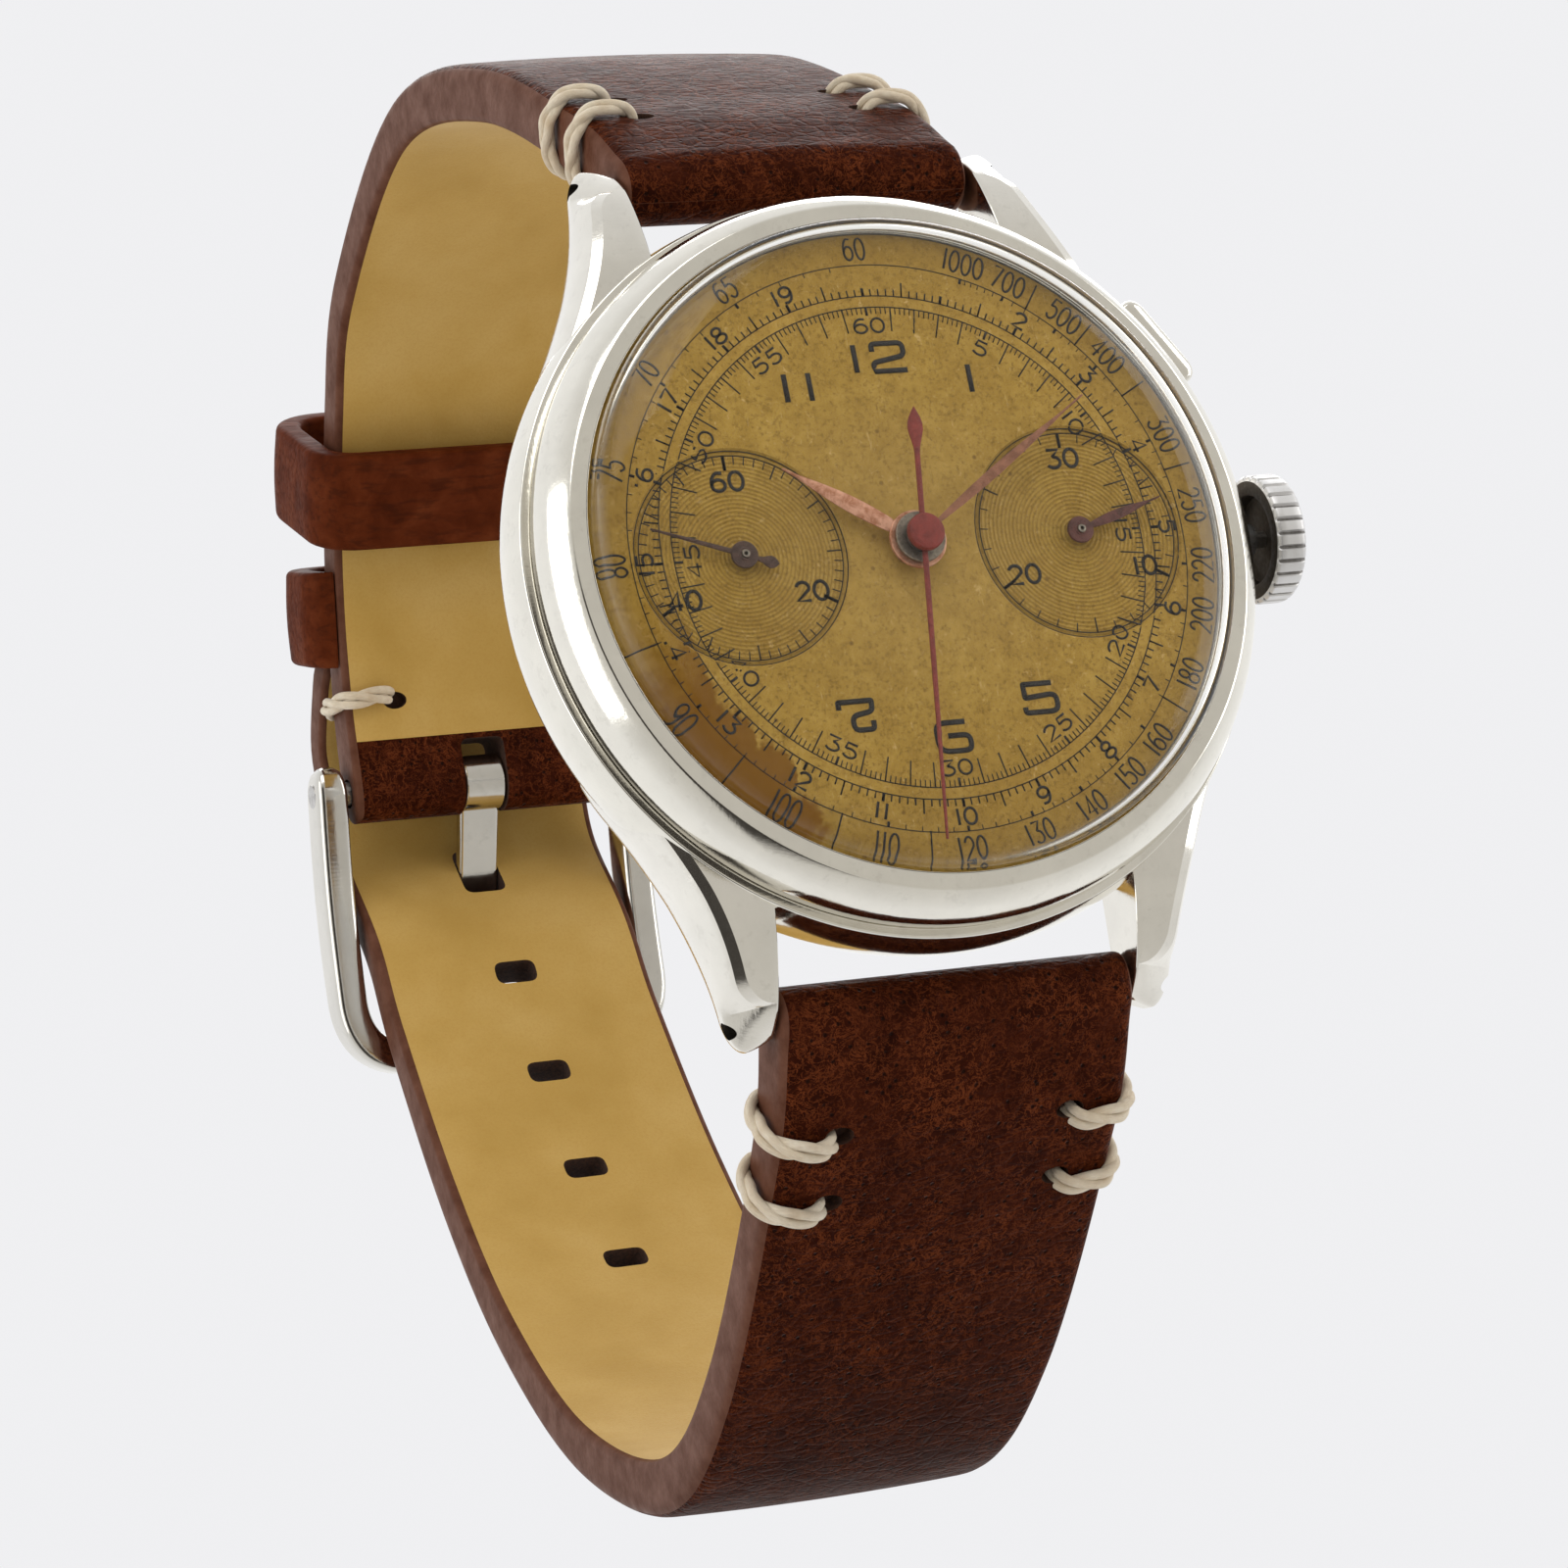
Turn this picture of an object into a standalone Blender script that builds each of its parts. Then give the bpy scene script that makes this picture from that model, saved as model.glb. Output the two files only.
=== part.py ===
"""A two-register chronograph wristwatch on a buckled leather strap.

While it is modelled the watch lies face up: x runs to 3 o'clock, y to 12 o'clock and z out through
the crystal, from the flat of the case back.  One empty then stands it up, so that the dial faces -Y
and 12 o'clock points to +Z, with the origin at the middle of the case back.
"""
import math

import bmesh
import bpy
from mathutils import Vector

MM = 0.001

# Case, bezel and crystal
CASE_DIAMETER = 38.0 * MM
CASE_LEDGE = 1.0 * MM
CASE_BOTTOM = 1.3 * MM
CASE_TOP = 5.7 * MM
CASE_UNDERCUT = 1.1 * MM
CASE_SHOULDER = 0.55 * MM
COLLAR_WALL = 0.52 * MM
COLLAR_TOP = 7.85 * MM
BEZEL_WALL = 0.65 * MM
BEZEL_TOP = 8.75 * MM
BEZEL_FLAT = 0.8 * MM
CRYSTAL_FLANGE = 0.55 * MM
CRYSTAL_WALL = 0.55 * MM
CRYSTAL_SHOULDER = 9.75 * MM
CRYSTAL_APEX = 11.1 * MM
CRYSTAL_THICKNESS = 0.9 * MM
BACK_THICKNESS = 1.2 * MM
BACK_FLAT_RADIUS = 13.5 * MM
FIT = 0.08 * MM

# Lugs and spring bars
LUG_OVERHANG = 3.0 * MM
LUG_GAP = 18.3 * MM
LUG_TIP_WIDTH = 2.2 * MM
LUG_ROOT_Y = 8.5 * MM
BAR_TO_TIP = 1.1 * MM
BAR_HEIGHT = 1.9 * MM
BAR_RADIUS = 0.75 * MM
BAR_PIN_RADIUS = 0.4 * MM
BAR_PIN_TRAVEL = 1.0 * MM
BAR_PIN_SHOW = 1.5 * MM

# Dial and hands
DIAL_TOP = 7.9 * MM
DIAL_THICKNESS = 0.4 * MM
SUBDIAL_OFFSET = 8.55 * MM
SUBDIAL_RADIUS = 5.2 * MM
SUBDIAL_DEPTH = 0.12 * MM
HAND_THICKNESS = 0.12 * MM
HOUR_HAND_LENGTH = 6.4 * MM
MINUTE_HAND_LENGTH = 11.7 * MM
CHRONO_HAND_LENGTH = 14.7 * MM
CHRONO_TAIL_LENGTH = 6.3 * MM
REGISTER_HAND_LENGTH = 4.6 * MM
REGISTER_TAIL_LENGTH = 1.7 * MM
HOUR_HAND_Z = 8.5 * MM
MINUTE_HAND_Z = 8.82 * MM
CHRONO_HAND_Z = 9.14 * MM
REGISTER_HAND_Z = 8.16 * MM
HOUR_AT_REST = 303.0
MINUTE_AT_REST = 56.4
CHRONO_AT_REST = 187.0
SECONDS_AT_REST = 290.0
COUNTER_AT_REST = 73.0

# Movement
CALIBRE_RADIUS = 15.3 * MM
PLATE_TOP = 7.2 * MM
PLATE_BOTTOM = 5.6 * MM
BRIDGE_TOP = 3.4 * MM
BRIDGE_BOTTOM = 2.7 * MM
COCK_TOP = 2.4 * MM
COCK_BOTTOM = 1.8 * MM
CHRONO_BRIDGE_TOP = 2.0 * MM
CHRONO_BRIDGE_BOTTOM = 1.5 * MM
CHRONO_ARBOR_RADIUS = 0.28 * MM
CANNON_BORE = 0.36 * MM
CANNON_RADIUS = 0.58 * MM
HOUR_PIPE_BORE = 0.68 * MM
HOUR_PIPE_RADIUS = 1.0 * MM
ARBOR_RADIUS = 0.22 * MM
MESH_GAP = 0.06 * MM
MOTION_DISTANCE = 4.35 * MM
BARREL_LEVEL = 3.6 * MM
FOURTH_LEVEL = 3.65 * MM
THIRD_LEVEL = 4.15 * MM
CENTER_LEVEL = 4.65 * MM
LEVEL_GAP = 0.1 * MM
WHEEL_THICKNESS = 0.25 * MM
CENTER_WHEEL_RADIUS = 4.0 * MM
THIRD_PINION_RADIUS = 0.5 * MM
THIRD_WHEEL_RADIUS = 3.6 * MM
FOURTH_PINION_RADIUS = 0.48 * MM
FOURTH_WHEEL_RADIUS = 3.0 * MM
ESCAPE_PINION_RADIUS = 0.3 * MM
ESCAPE_WHEEL_RADIUS = 1.9 * MM
BARREL_RADIUS = 4.9 * MM
BARREL_ARBOR_RADIUS = 1.2 * MM
CENTER_PINION_RADIUS = 0.7 * MM
CHRONO_WHEEL_RADIUS = 4.1 * MM
COUNTER_WHEEL_RADIUS = 3.0 * MM
BALANCE_RADIUS = 4.2 * MM
BALANCE_AT = Vector((-3.0, -9.3)) * MM
COCK_FOOT_AT = Vector((-8.6, -10.9)) * MM

# Crown and pusher
CROWN_DIAMETER = 6.3 * MM
CROWN_LENGTH = 1.8 * MM
CROWN_GAP = 0.35 * MM
CROWN_HEIGHT = 4.7 * MM
CROWN_FLUTES = 28
CROWN_FLUTE_DEPTH = 0.22 * MM
STEM_RADIUS = 0.42 * MM
TUBE_RADIUS = 0.8 * MM
PUSHER_ANGLE = 57.6
PUSHER_WIDTH = 5.0 * MM
PUSHER_THICKNESS = 2.2 * MM
PUSHER_PROUD = 1.05 * MM
PUSHER_TRAVEL = 1.0 * MM
PUSHER_HEIGHT = 4.5 * MM

# Strap: centre line, widths and layers
STRAP_SIDE_GAP = 0.15 * MM
STRAP_END_WIDTH = 16.0 * MM
STRAP_THICKNESS = 3.0 * MM
STRAP_FOLD_THICKNESS = 3.6 * MM
TAIL_THICKNESS = 2.4 * MM
TAIL_TIP_WIDTH = 6.0 * MM
STRAP_EDGE = 0.7 * MM
LOOP_DEPTH = 61.2 * MM
LOOP_RISE = 17.1 * MM
LAYER_GAP = 0.35 * MM
STRAP_STEP = 2.6 * MM
HOLE_SPACING = 7.4 * MM
HOLE_COUNT = 6
HOLE_WIDTH = 2.5 * MM
HOLE_LENGTH = 1.7 * MM
STITCH_RADIUS = 0.45 * MM
STITCH_REACH = 2.7 * MM
STITCH_EASE = 0.35 * MM
STITCH_FIRST = 5.0 * MM
STITCH_SPACING = 3.8 * MM
BUCKLE_STITCH = 5.2 * MM

# Keepers and buckle
KEEPER_WIDTH = 5.6 * MM
KEEPER_WALL = 1.6 * MM
FREE_KEEPER_ROOM = 4.7 * MM
FIXED_KEEPER_ROOM = 3.4 * MM
KEEPER_SLACK = 1.0 * MM
FIXED_KEEPER_FROM_BUCKLE = 10.3 * MM
FREE_KEEPER_FROM_BUCKLE = 18.0 * MM
BUCKLE_BAR_RADIUS = 0.7 * MM
BUCKLE_SIDE_GAP = 0.3 * MM
BUCKLE_ARM_WIDTH = 1.9 * MM
BUCKLE_ARM_THICKNESS = 2.8 * MM
BUCKLE_LENGTH = 14.4 * MM
TONGUE_WIDTH = 2.2 * MM
TONGUE_THICKNESS = 0.8 * MM
TONGUE_SLOT = 3.0 * MM
TONGUE_SLOT_RISE = 4.0 * MM
TONGUE_REACH = 6.6 * MM

# Facets
ROUND_STEPS = 40
SMALL_STEPS = 16

# Sizes that follow from the ones above
CASE_RADIUS = CASE_DIAMETER / 2
LUG_SPAN = CASE_DIAMETER + 2 * LUG_OVERHANG
BEZEL_RADIUS = CASE_RADIUS - CASE_LEDGE
COLLAR_RADIUS = BEZEL_RADIUS - BEZEL_WALL - FIT
BACK_RIM_RADIUS = COLLAR_RADIUS + 0.3 * MM
BORE_RADIUS = COLLAR_RADIUS - COLLAR_WALL
LIP_RADIUS = BORE_RADIUS - CRYSTAL_FLANGE - FIT
CRYSTAL_RADIUS = LIP_RADIUS - FIT
DIAL_RADIUS = BORE_RADIUS - 2 * FIT
BAR_Y = LUG_SPAN / 2 - BAR_TO_TIP
CROWN_INNER_X = CASE_RADIUS + CROWN_GAP
STRAP_WIDTH = LUG_GAP - 2 * STRAP_SIDE_GAP
LAYER_OFFSET = (STRAP_THICKNESS + TAIL_THICKNESS) / 2 + LAYER_GAP
BAR_PIN_LENGTH = BAR_PIN_SHOW + BAR_PIN_TRAVEL + 1.0 * MM

PARTS = None
CUTTERS = None
STAND = None


def start_scene():
    """Empty the scene and make the collections and the empty that stands the watch up."""
    global PARTS, CUTTERS, STAND
    for old in list(bpy.data.objects):
        bpy.data.objects.remove(old)
    PARTS = bpy.data.collections.new("chronograph_wristwatch")
    CUTTERS = bpy.data.collections.new("cutters")
    for collection in (PARTS, CUTTERS):
        bpy.context.scene.collection.children.link(collection)
    STAND = bpy.data.objects.new("stand_up", None)
    STAND.rotation_euler = (math.pi / 2, 0, 0)
    PARTS.objects.link(STAND)


def material(name, colour, roughness, metallic):
    """A Principled BSDF of one colour."""
    made = bpy.data.materials.new(name)
    made.use_nodes = True
    shader = made.node_tree.nodes["Principled BSDF"]
    shader.inputs["Base Color"].default_value = (*colour, 1)
    shader.inputs["Roughness"].default_value = roughness
    shader.inputs["Metallic"].default_value = metallic
    made.diffuse_color = (*colour, 1)
    return made


def make_materials():
    """The finishes of the pieces, by name."""
    return {
        "steel": material("polished_steel", (0.72, 0.70, 0.66), 0.08, 1.0),
        "grey_steel": material("worn_steel", (0.45, 0.45, 0.46), 0.35, 1.0),
        "brass": material("gilt_brass", (0.65, 0.48, 0.20), 0.3, 1.0),
        "dial": material("golden_dial", (0.42, 0.26, 0.07), 0.45, 0.2),
        "copper": material("faded_copper", (0.45, 0.17, 0.10), 0.4, 0.6),
        "red": material("red_lacquer", (0.33, 0.03, 0.02), 0.35, 0.0),
        "crystal": material("acrylic", (0.95, 0.95, 0.93), 0.03, 0.0),
        "leather": material("brown_leather", (0.08, 0.022, 0.013), 0.5, 0.0),
        "thread": material("cream_thread", (0.68, 0.60, 0.43), 0.8, 0.0),
    }


def add(piece, finish=None):
    """Put an object among the parts, or among the cutters if it has no finish."""
    if finish is None:
        CUTTERS.objects.link(piece)
        piece.hide_render = True
        piece.display_type = "WIRE"
    else:
        PARTS.objects.link(piece)
        piece.data.materials.append(finish)
    piece.parent = STAND
    return piece


def shade(mesh):
    """Smooth the round faces and keep the corners sharp."""
    mesh.shade_smooth()
    mesh.set_sharp_from_angle(angle=math.radians(35))


def loft(name, rings, finish=None, closed=False):
    """A closed skin over rings of equally many points, capped at both ends unless it is a loop."""
    mesh = bpy.data.meshes.new(name)
    skin = bmesh.new()
    rows = [[skin.verts.new(point) for point in ring] for ring in rings]
    pairs = list(zip(rows, rows[1:]))
    if closed:
        pairs.append((rows[-1], rows[0]))
    for near, far in pairs:
        for i in range(len(near)):
            j = (i + 1) % len(near)
            skin.faces.new((near[i], near[j], far[j], far[i]))
    if not closed:
        skin.faces.new(rows[0])
        skin.faces.new(rows[-1])
    bmesh.ops.recalc_face_normals(skin, faces=skin.faces)
    skin.to_mesh(mesh)
    skin.free()
    shade(mesh)
    return add(bpy.data.objects.new(name, mesh), finish)


def turned(name, profile, finish=None, at=(0, 0, 0), steps=ROUND_STEPS, ring=True):
    """A shape turned about z from (radius, height) points that run down its outer side."""
    mesh = bpy.data.meshes.new(name)
    edges = [(i, i + 1) for i in range(len(profile) - 1)]
    if ring:
        edges.append((len(profile) - 1, 0))
    mesh.from_pydata([(radius, 0, height) for radius, height in profile], edges, [])
    piece = add(bpy.data.objects.new(name, mesh), finish)
    piece.location = at
    screw = piece.modifiers.new("turn", "SCREW")
    screw.axis = "Z"
    screw.steps = steps
    screw.render_steps = steps
    screw.use_merge_vertices = True
    screw.merge_threshold = 1e-7
    screw.use_smooth_shade = True
    return piece


def cylinder(name, radius, low, high, finish=None, at=(0, 0), steps=SMALL_STEPS):
    """A round bar along z between two heights."""
    skin = bmesh.new()
    bmesh.ops.create_cone(skin, cap_ends=True, segments=steps, radius1=radius, radius2=radius,
                          depth=high - low)
    mesh = bpy.data.meshes.new(name)
    skin.to_mesh(mesh)
    skin.free()
    shade(mesh)
    piece = add(bpy.data.objects.new(name, mesh), finish)
    piece.location = (at[0], at[1], (low + high) / 2)
    return piece


def rod(name, radius, start, end, finish=None, steps=SMALL_STEPS):
    """A round bar between two points."""
    start = Vector(start)
    end = Vector(end)
    piece = cylinder(name, radius, 0, (end - start).length, finish, steps=steps)
    piece.location = (start + end) / 2
    piece.rotation_euler = (end - start).to_track_quat("Z", "Y").to_euler()
    return piece


def block(name, size, at, finish=None, turn=0.0):
    """A box turned about z."""
    skin = bmesh.new()
    bmesh.ops.create_cube(skin, size=1)
    bmesh.ops.scale(skin, vec=size, verts=skin.verts)
    mesh = bpy.data.meshes.new(name)
    skin.to_mesh(mesh)
    skin.free()
    piece = add(bpy.data.objects.new(name, mesh), finish)
    piece.location = at
    piece.rotation_euler = (0, 0, turn)
    return piece


def flat(name, loops, low, high, finish=None, at=(0, 0), turn=0.0):
    """A plate with the outline of the first loop and holes of the others, as a mesh."""
    curve = bpy.data.curves.new(name, "CURVE")
    curve.dimensions = "2D"
    curve.fill_mode = "BOTH"
    curve.extrude = (high - low) / 2
    for loop in loops:
        spline = curve.splines.new("POLY")
        spline.points.add(len(loop) - 1)
        spline.use_cyclic_u = True
        for point, (x, y) in zip(spline.points, loop):
            point.co = (x, y, 0, 1)
    return as_mesh(name, curve, finish, (at[0], at[1], (low + high) / 2), turn)


def as_mesh(name, curve, finish, at, turn=0.0):
    """The solid of a curve, with its caps welded on."""
    holder = bpy.data.objects.new(name + "_curve", curve)
    CUTTERS.objects.link(holder)
    bpy.context.view_layer.update()
    solid = bpy.data.meshes.new_from_object(holder.evaluated_get(bpy.context.evaluated_depsgraph_get()))
    solid.materials.clear()
    skin = bmesh.new()
    skin.from_mesh(solid)
    bmesh.ops.remove_doubles(skin, verts=skin.verts, dist=1e-7)
    bmesh.ops.recalc_face_normals(skin, faces=skin.faces)
    skin.to_mesh(solid)
    skin.free()
    shade(solid)
    bpy.data.objects.remove(holder)
    piece = add(bpy.data.objects.new(name, solid), finish)
    piece.location = at
    piece.rotation_euler = (0, 0, turn)
    return piece


def thread(name, points, radius, finish):
    """A round thread through the points."""
    curve = bpy.data.curves.new(name, "CURVE")
    curve.dimensions = "3D"
    curve.bevel_depth = radius
    curve.bevel_resolution = 1
    curve.use_fill_caps = True
    spline = curve.splines.new("POLY")
    spline.points.add(len(points) - 1)
    for point, place in zip(spline.points, points):
        point.co = (*place, 1)
    return as_mesh(name, curve, finish, (0, 0, 0))


def combine(piece, other, operation):
    """Cut another shape out of a piece, or join it on."""
    step = piece.modifiers.new(operation.lower(), "BOOLEAN")
    step.operation = operation
    step.solver = "EXACT"
    step.object = other
    return piece


def cut(piece, *cutters):
    """Cut shapes out of a piece."""
    for cutter in cutters:
        combine(piece, cutter, "DIFFERENCE")
    return piece


def circle(radius, count=SMALL_STEPS, at=(0, 0)):
    """Points round a circle."""
    turns = [math.tau * i / count for i in range(count)]
    return [(at[0] + radius * math.cos(a), at[1] + radius * math.sin(a)) for a in turns]


def capsule(start, end, radius, count=8):
    """The outline of a bar with round ends between two points."""
    lean = math.atan2(end[1] - start[1], end[0] - start[0])
    points = []
    for middle, first in ((end, lean - math.pi / 2), (start, lean + math.pi / 2)):
        for i in range(count + 1):
            a = first + math.pi * i / count
            points.append((middle[0] + radius * math.cos(a), middle[1] + radius * math.sin(a)))
    return points


def smooth_path(points, step):
    """Points at even steps along a smooth curve through the given points, with the last kept."""
    fine = []
    padded = [points[0] * 2 - points[1], *points, points[-1] * 2 - points[-2]]
    for before, a, b, after in zip(padded, padded[1:], padded[2:], padded[3:]):
        for i in range(20):
            t = i / 20
            bend = (before * -1 + a * 3 - b * 3 + after) * t ** 3
            bend += (before * 2 - a * 5 + b * 4 - after) * t ** 2
            fine.append((bend + (b - before) * t + a * 2) / 2)
    fine.append(points[-1].copy())
    lengths = [0.0]
    for a, b in zip(fine, fine[1:]):
        lengths.append(lengths[-1] + (b - a).length)
    count = max(2, round(lengths[-1] / step))
    even = []
    at = 0
    for i in range(count + 1):
        goal = lengths[-1] * i / count
        while at < len(fine) - 2 and lengths[at + 1] < goal:
            at += 1
        share = (goal - lengths[at]) / (lengths[at + 1] - lengths[at])
        even.append(fine[at].lerp(fine[at + 1], min(share, 1.0)))
    return even


class StrapLine:
    """The centre line of a strap in the (y, z) plane, by length from the spring bar."""

    def __init__(self, points, outward):
        self.points = smooth_path(points, STRAP_STEP / 4)
        self.outward = outward
        self.lengths = [0.0]
        for a, b in zip(self.points, self.points[1:]):
            self.lengths.append(self.lengths[-1] + (b - a).length)
        self.length = self.lengths[-1]

    def along(self, distance):
        """Middle, direction and outward normal at a length, straight on past either end."""
        last = len(self.points) - 2
        i = 0
        while i < last and self.lengths[i + 1] < distance:
            i += 1
        step = self.points[i + 1] - self.points[i]
        here = self.points[i] + step.normalized() * (distance - self.lengths[i])
        a = self.points[max(i - 1, 0)]
        b = self.points[min(i + 2, last + 1)]
        forward = (b - a).normalized()
        return here, forward, Vector((-forward.y, forward.x)) * self.outward

    def spot(self, distance, across, out):
        """A point of the strap from its length, its place across and its height off the middle."""
        here, _, normal = self.along(distance)
        place = here + normal * out
        return Vector((across, place.x, place.y))


def strap_line_points(route, side):
    """Points of the centre line from shares of the loop's depth and rise, on one side of the case."""
    return [Vector((side * (BAR_Y + rise * LOOP_RISE), BAR_HEIGHT - depth * LOOP_DEPTH))
            for depth, rise in route]


SHORT_ROUTE = ((0, 0), (0.078, 0.263), (0.276, 0.731), (0.513, 1.0), (0.755, 0.789), (0.856, 0.485),
               (0.935, 0.064), (0.982, -0.374), (1.0, -0.72))
LONG_ROUTE = ((0, 0), (0.069, 0.298), (0.268, 0.819), (0.44, 1.006), (0.644, 0.778), (0.799, 0.327),
              (0.905, -0.199), (0.990, -0.836), (1.021, -1.175))
TAIL_ROUTE = ((-4.2, 1.31), (0, 1.64), (3.5, 1.85), (7.5, 1.16), (10.5, 1.03), (14.5, 1.0))


def make_lines():
    """The centre lines of the two straps, the long one passing outside the short one's end."""
    short = StrapLine(strap_line_points(SHORT_ROUTE, 1), 1)
    tail = []
    for back, stand_off in TAIL_ROUTE:
        here, _, normal = short.along(short.length - back * MM)
        tail.append(here + normal * LAYER_OFFSET * stand_off)
    return short, StrapLine(strap_line_points(LONG_ROUTE, -1) + tail, -1)


def strap_section(line, distance, half_width, half_thickness):
    """Eight points of a strap's cross-section, with its edges rounded off."""
    edge = min(STRAP_EDGE, half_thickness * 0.6)
    shape = ((1, -1, 1, 0), (1, -1, 0, 1), (1, 1, 0, 1), (1, 1, 1, 0),
             (-1, 1, 1, 0), (-1, 1, 0, 1), (-1, -1, 0, 1), (-1, -1, 1, 0))
    return [line.spot(distance, x * (half_width - a * edge), n * (half_thickness - b * edge))
            for x, n, a, b in shape]


def strap_half_width(line, distance):
    """Half the strap's width, from the lugs down to the buckle's width."""
    share = min(max(distance / (line.length * 0.75), 0), 1)
    return (STRAP_WIDTH + (STRAP_END_WIDTH - STRAP_WIDTH) * share) / 2


def round_nose(line, at, sign, thickness, half_width):
    """Sections that close a strap's end in a half round about its bar."""
    rings = []
    for degrees in (82, 60, 38, 16):
        a = math.radians(degrees)
        reach = math.sin(a) * thickness / 2
        rings.append(strap_section(line, at + sign * reach, half_width, math.cos(a) * thickness / 2))
    return rings


def make_short_strap(line, finish):
    """The 12 o'clock strap, folded round the spring bar and round the buckle bar."""
    swell = 9 * MM
    rings = round_nose(line, 0, -1, STRAP_FOLD_THICKNESS, STRAP_WIDTH / 2)
    count = round(line.length / STRAP_STEP)
    for i in range(count + 1):
        distance = line.length * i / count
        near_end = max(0, 1 - min(distance, line.length - distance) / swell)
        thick = STRAP_THICKNESS + (STRAP_FOLD_THICKNESS - STRAP_THICKNESS) * near_end
        rings.append(strap_section(line, distance, strap_half_width(line, distance), thick / 2))
    rings += round_nose(line, line.length, 1, STRAP_FOLD_THICKNESS, STRAP_END_WIDTH / 2)[::-1]
    strap = loft("strap_short", rings, finish)
    here, forward, normal = line.along(line.length)
    slot_middle = line.spot(line.length - (TONGUE_SLOT_RISE - STRAP_FOLD_THICKNESS) / 2, 0, 0)
    slot = block("tongue_slot", (TONGUE_SLOT, TONGUE_SLOT_RISE + STRAP_FOLD_THICKNESS,
                                 2 * STRAP_FOLD_THICKNESS), slot_middle)
    slot.rotation_euler = (math.atan2(forward.y, forward.x), 0, 0)
    return cut(strap, bar_bore(line.points[0], BAR_RADIUS), bar_bore(here, BUCKLE_BAR_RADIUS), slot)


def bar_bore(middle, radius):
    """A cutter for the tunnel that a bar lies in."""
    reach = STRAP_WIDTH
    return rod("tunnel", radius + 2 * FIT, (-reach, *middle), (reach, *middle))


def make_long_strap(line, tongue_at, finish):
    """The 6 o'clock strap, with its row of holes and its pointed tail."""
    swell = 9 * MM
    thin_from = line.length * 0.6
    rings = round_nose(line, 0, -1, STRAP_FOLD_THICKNESS, STRAP_WIDTH / 2)
    count = round(line.length / STRAP_STEP)
    taper = STRAP_END_WIDTH * 0.55
    for i in range(count + 1):
        distance = line.length * i / count
        near_end = max(0, 1 - distance / swell)
        thin = min(max(0, (distance - thin_from) / (line.length * 0.2)), 1)
        thick = STRAP_THICKNESS + (STRAP_FOLD_THICKNESS - STRAP_THICKNESS) * near_end
        thick += (TAIL_THICKNESS - STRAP_THICKNESS) * thin
        wide = strap_half_width(line, distance)
        left = max(0, 1 - (line.length - distance) / taper)
        wide -= (wide - TAIL_TIP_WIDTH / 2) * left ** 1.8
        rings.append(strap_section(line, distance, wide, thick / 2))
    strap = loft("strap_long", rings, finish)
    cut(strap, bar_bore(line.points[0], BAR_RADIUS))
    for i in range(HOLE_COUNT):
        distance = tongue_at - (i - 1) * HOLE_SPACING
        length = HOLE_LENGTH * (1.9 if i == 1 else 1.0)
        here, forward, _ = line.along(distance)
        outline = capsule((-(HOLE_WIDTH - HOLE_LENGTH) / 2, 0), ((HOLE_WIDTH - HOLE_LENGTH) / 2, 0),
                          HOLE_LENGTH / 2, 4)
        if i == 1:
            half = (TONGUE_WIDTH + 4 * FIT) / 2
            outline = [(half, -length / 2), (half, length / 2), (-half, length / 2), (-half, -length / 2)]
        hole = flat("hole", [outline], -2 * STRAP_THICKNESS, 2 * STRAP_THICKNESS)
        hole.location = (0, *here)
        hole.rotation_euler = (math.atan2(forward.y, forward.x), 0, 0)
        cut(strap, hole)
    return strap


def make_stitches(short, long, finish):
    """Threads that wrap the strap's edges: two each side at the lugs, one each side at the buckle."""
    places = [(short, "upper", STITCH_FIRST + i * STITCH_SPACING, i + 1) for i in range(2)]
    places += [(long, "lower", STITCH_FIRST + i * STITCH_SPACING, i + 1) for i in range(2)]
    places.append((short, "buckle", short.length - BUCKLE_STITCH, 1))
    for line, where, distance, number in places:
        half = strap_half_width(line, distance)
        lift = STRAP_FOLD_THICKNESS / 2 + STITCH_RADIUS + FIT
        reach = half + STITCH_RADIUS + FIT
        for side, side_name in ((-1, "left"), (1, "right")):
            corner = 0.55 * lift
            path = [(half - STITCH_REACH, lift), (half - STITCH_EASE, lift), (reach, corner),
                    (reach, -corner), (half - STITCH_EASE, -lift), (half - STITCH_REACH, -lift)]
            points = [line.spot(distance, side * across, out) for across, out in path]
            name = "stitch_%s_%s_%d" % (where, side_name, number)
            thread(name, points, STITCH_RADIUS, finish)


def rounded_loop(half_width, low, high, corner, count=4):
    """The outline of a rounded box, across the strap and out from it."""
    points = []
    corners = ((half_width, high, 0), (-half_width, high, 90), (-half_width, low, 180), (half_width, low, 270))
    for x, n, first in corners:
        inset_x = x - math.copysign(corner, x)
        inset_n = n - corner if n == high else n + corner
        for i in range(count + 1):
            a = math.radians(first + 90 * i / count)
            points.append((inset_x + corner * math.cos(a), inset_n + corner * math.sin(a)))
    return points


def make_free_keeper(line, finish):
    """The sliding loop, wide enough for both layers of strap."""
    distance = line.length - FREE_KEEPER_FROM_BUCKLE
    here, forward, normal = line.along(distance)
    half = strap_half_width(line, distance - KEEPER_WIDTH) + 3 * FIT
    low = -STRAP_THICKNESS / 2 - KEEPER_SLACK
    high = STRAP_THICKNESS / 2 + FREE_KEEPER_ROOM
    inner = rounded_loop(half, low, high, 1.2 * MM)
    outer = rounded_loop(half + KEEPER_WALL, low - KEEPER_WALL, high + KEEPER_WALL, 1.2 * MM + KEEPER_WALL)
    rings = []
    for (xi, ni), (xo, no) in zip(inner, outer):
        ring = []
        for x, n, shift in ((xi, ni, -1), (xo, no, -1), (xo, no, 1), (xi, ni, 1)):
            place = here + normal * n + forward * shift * KEEPER_WIDTH / 2
            ring.append((x, place.x, place.y))
        rings.append(ring)
    return loft("keeper_free", rings, finish, closed=True)


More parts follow.
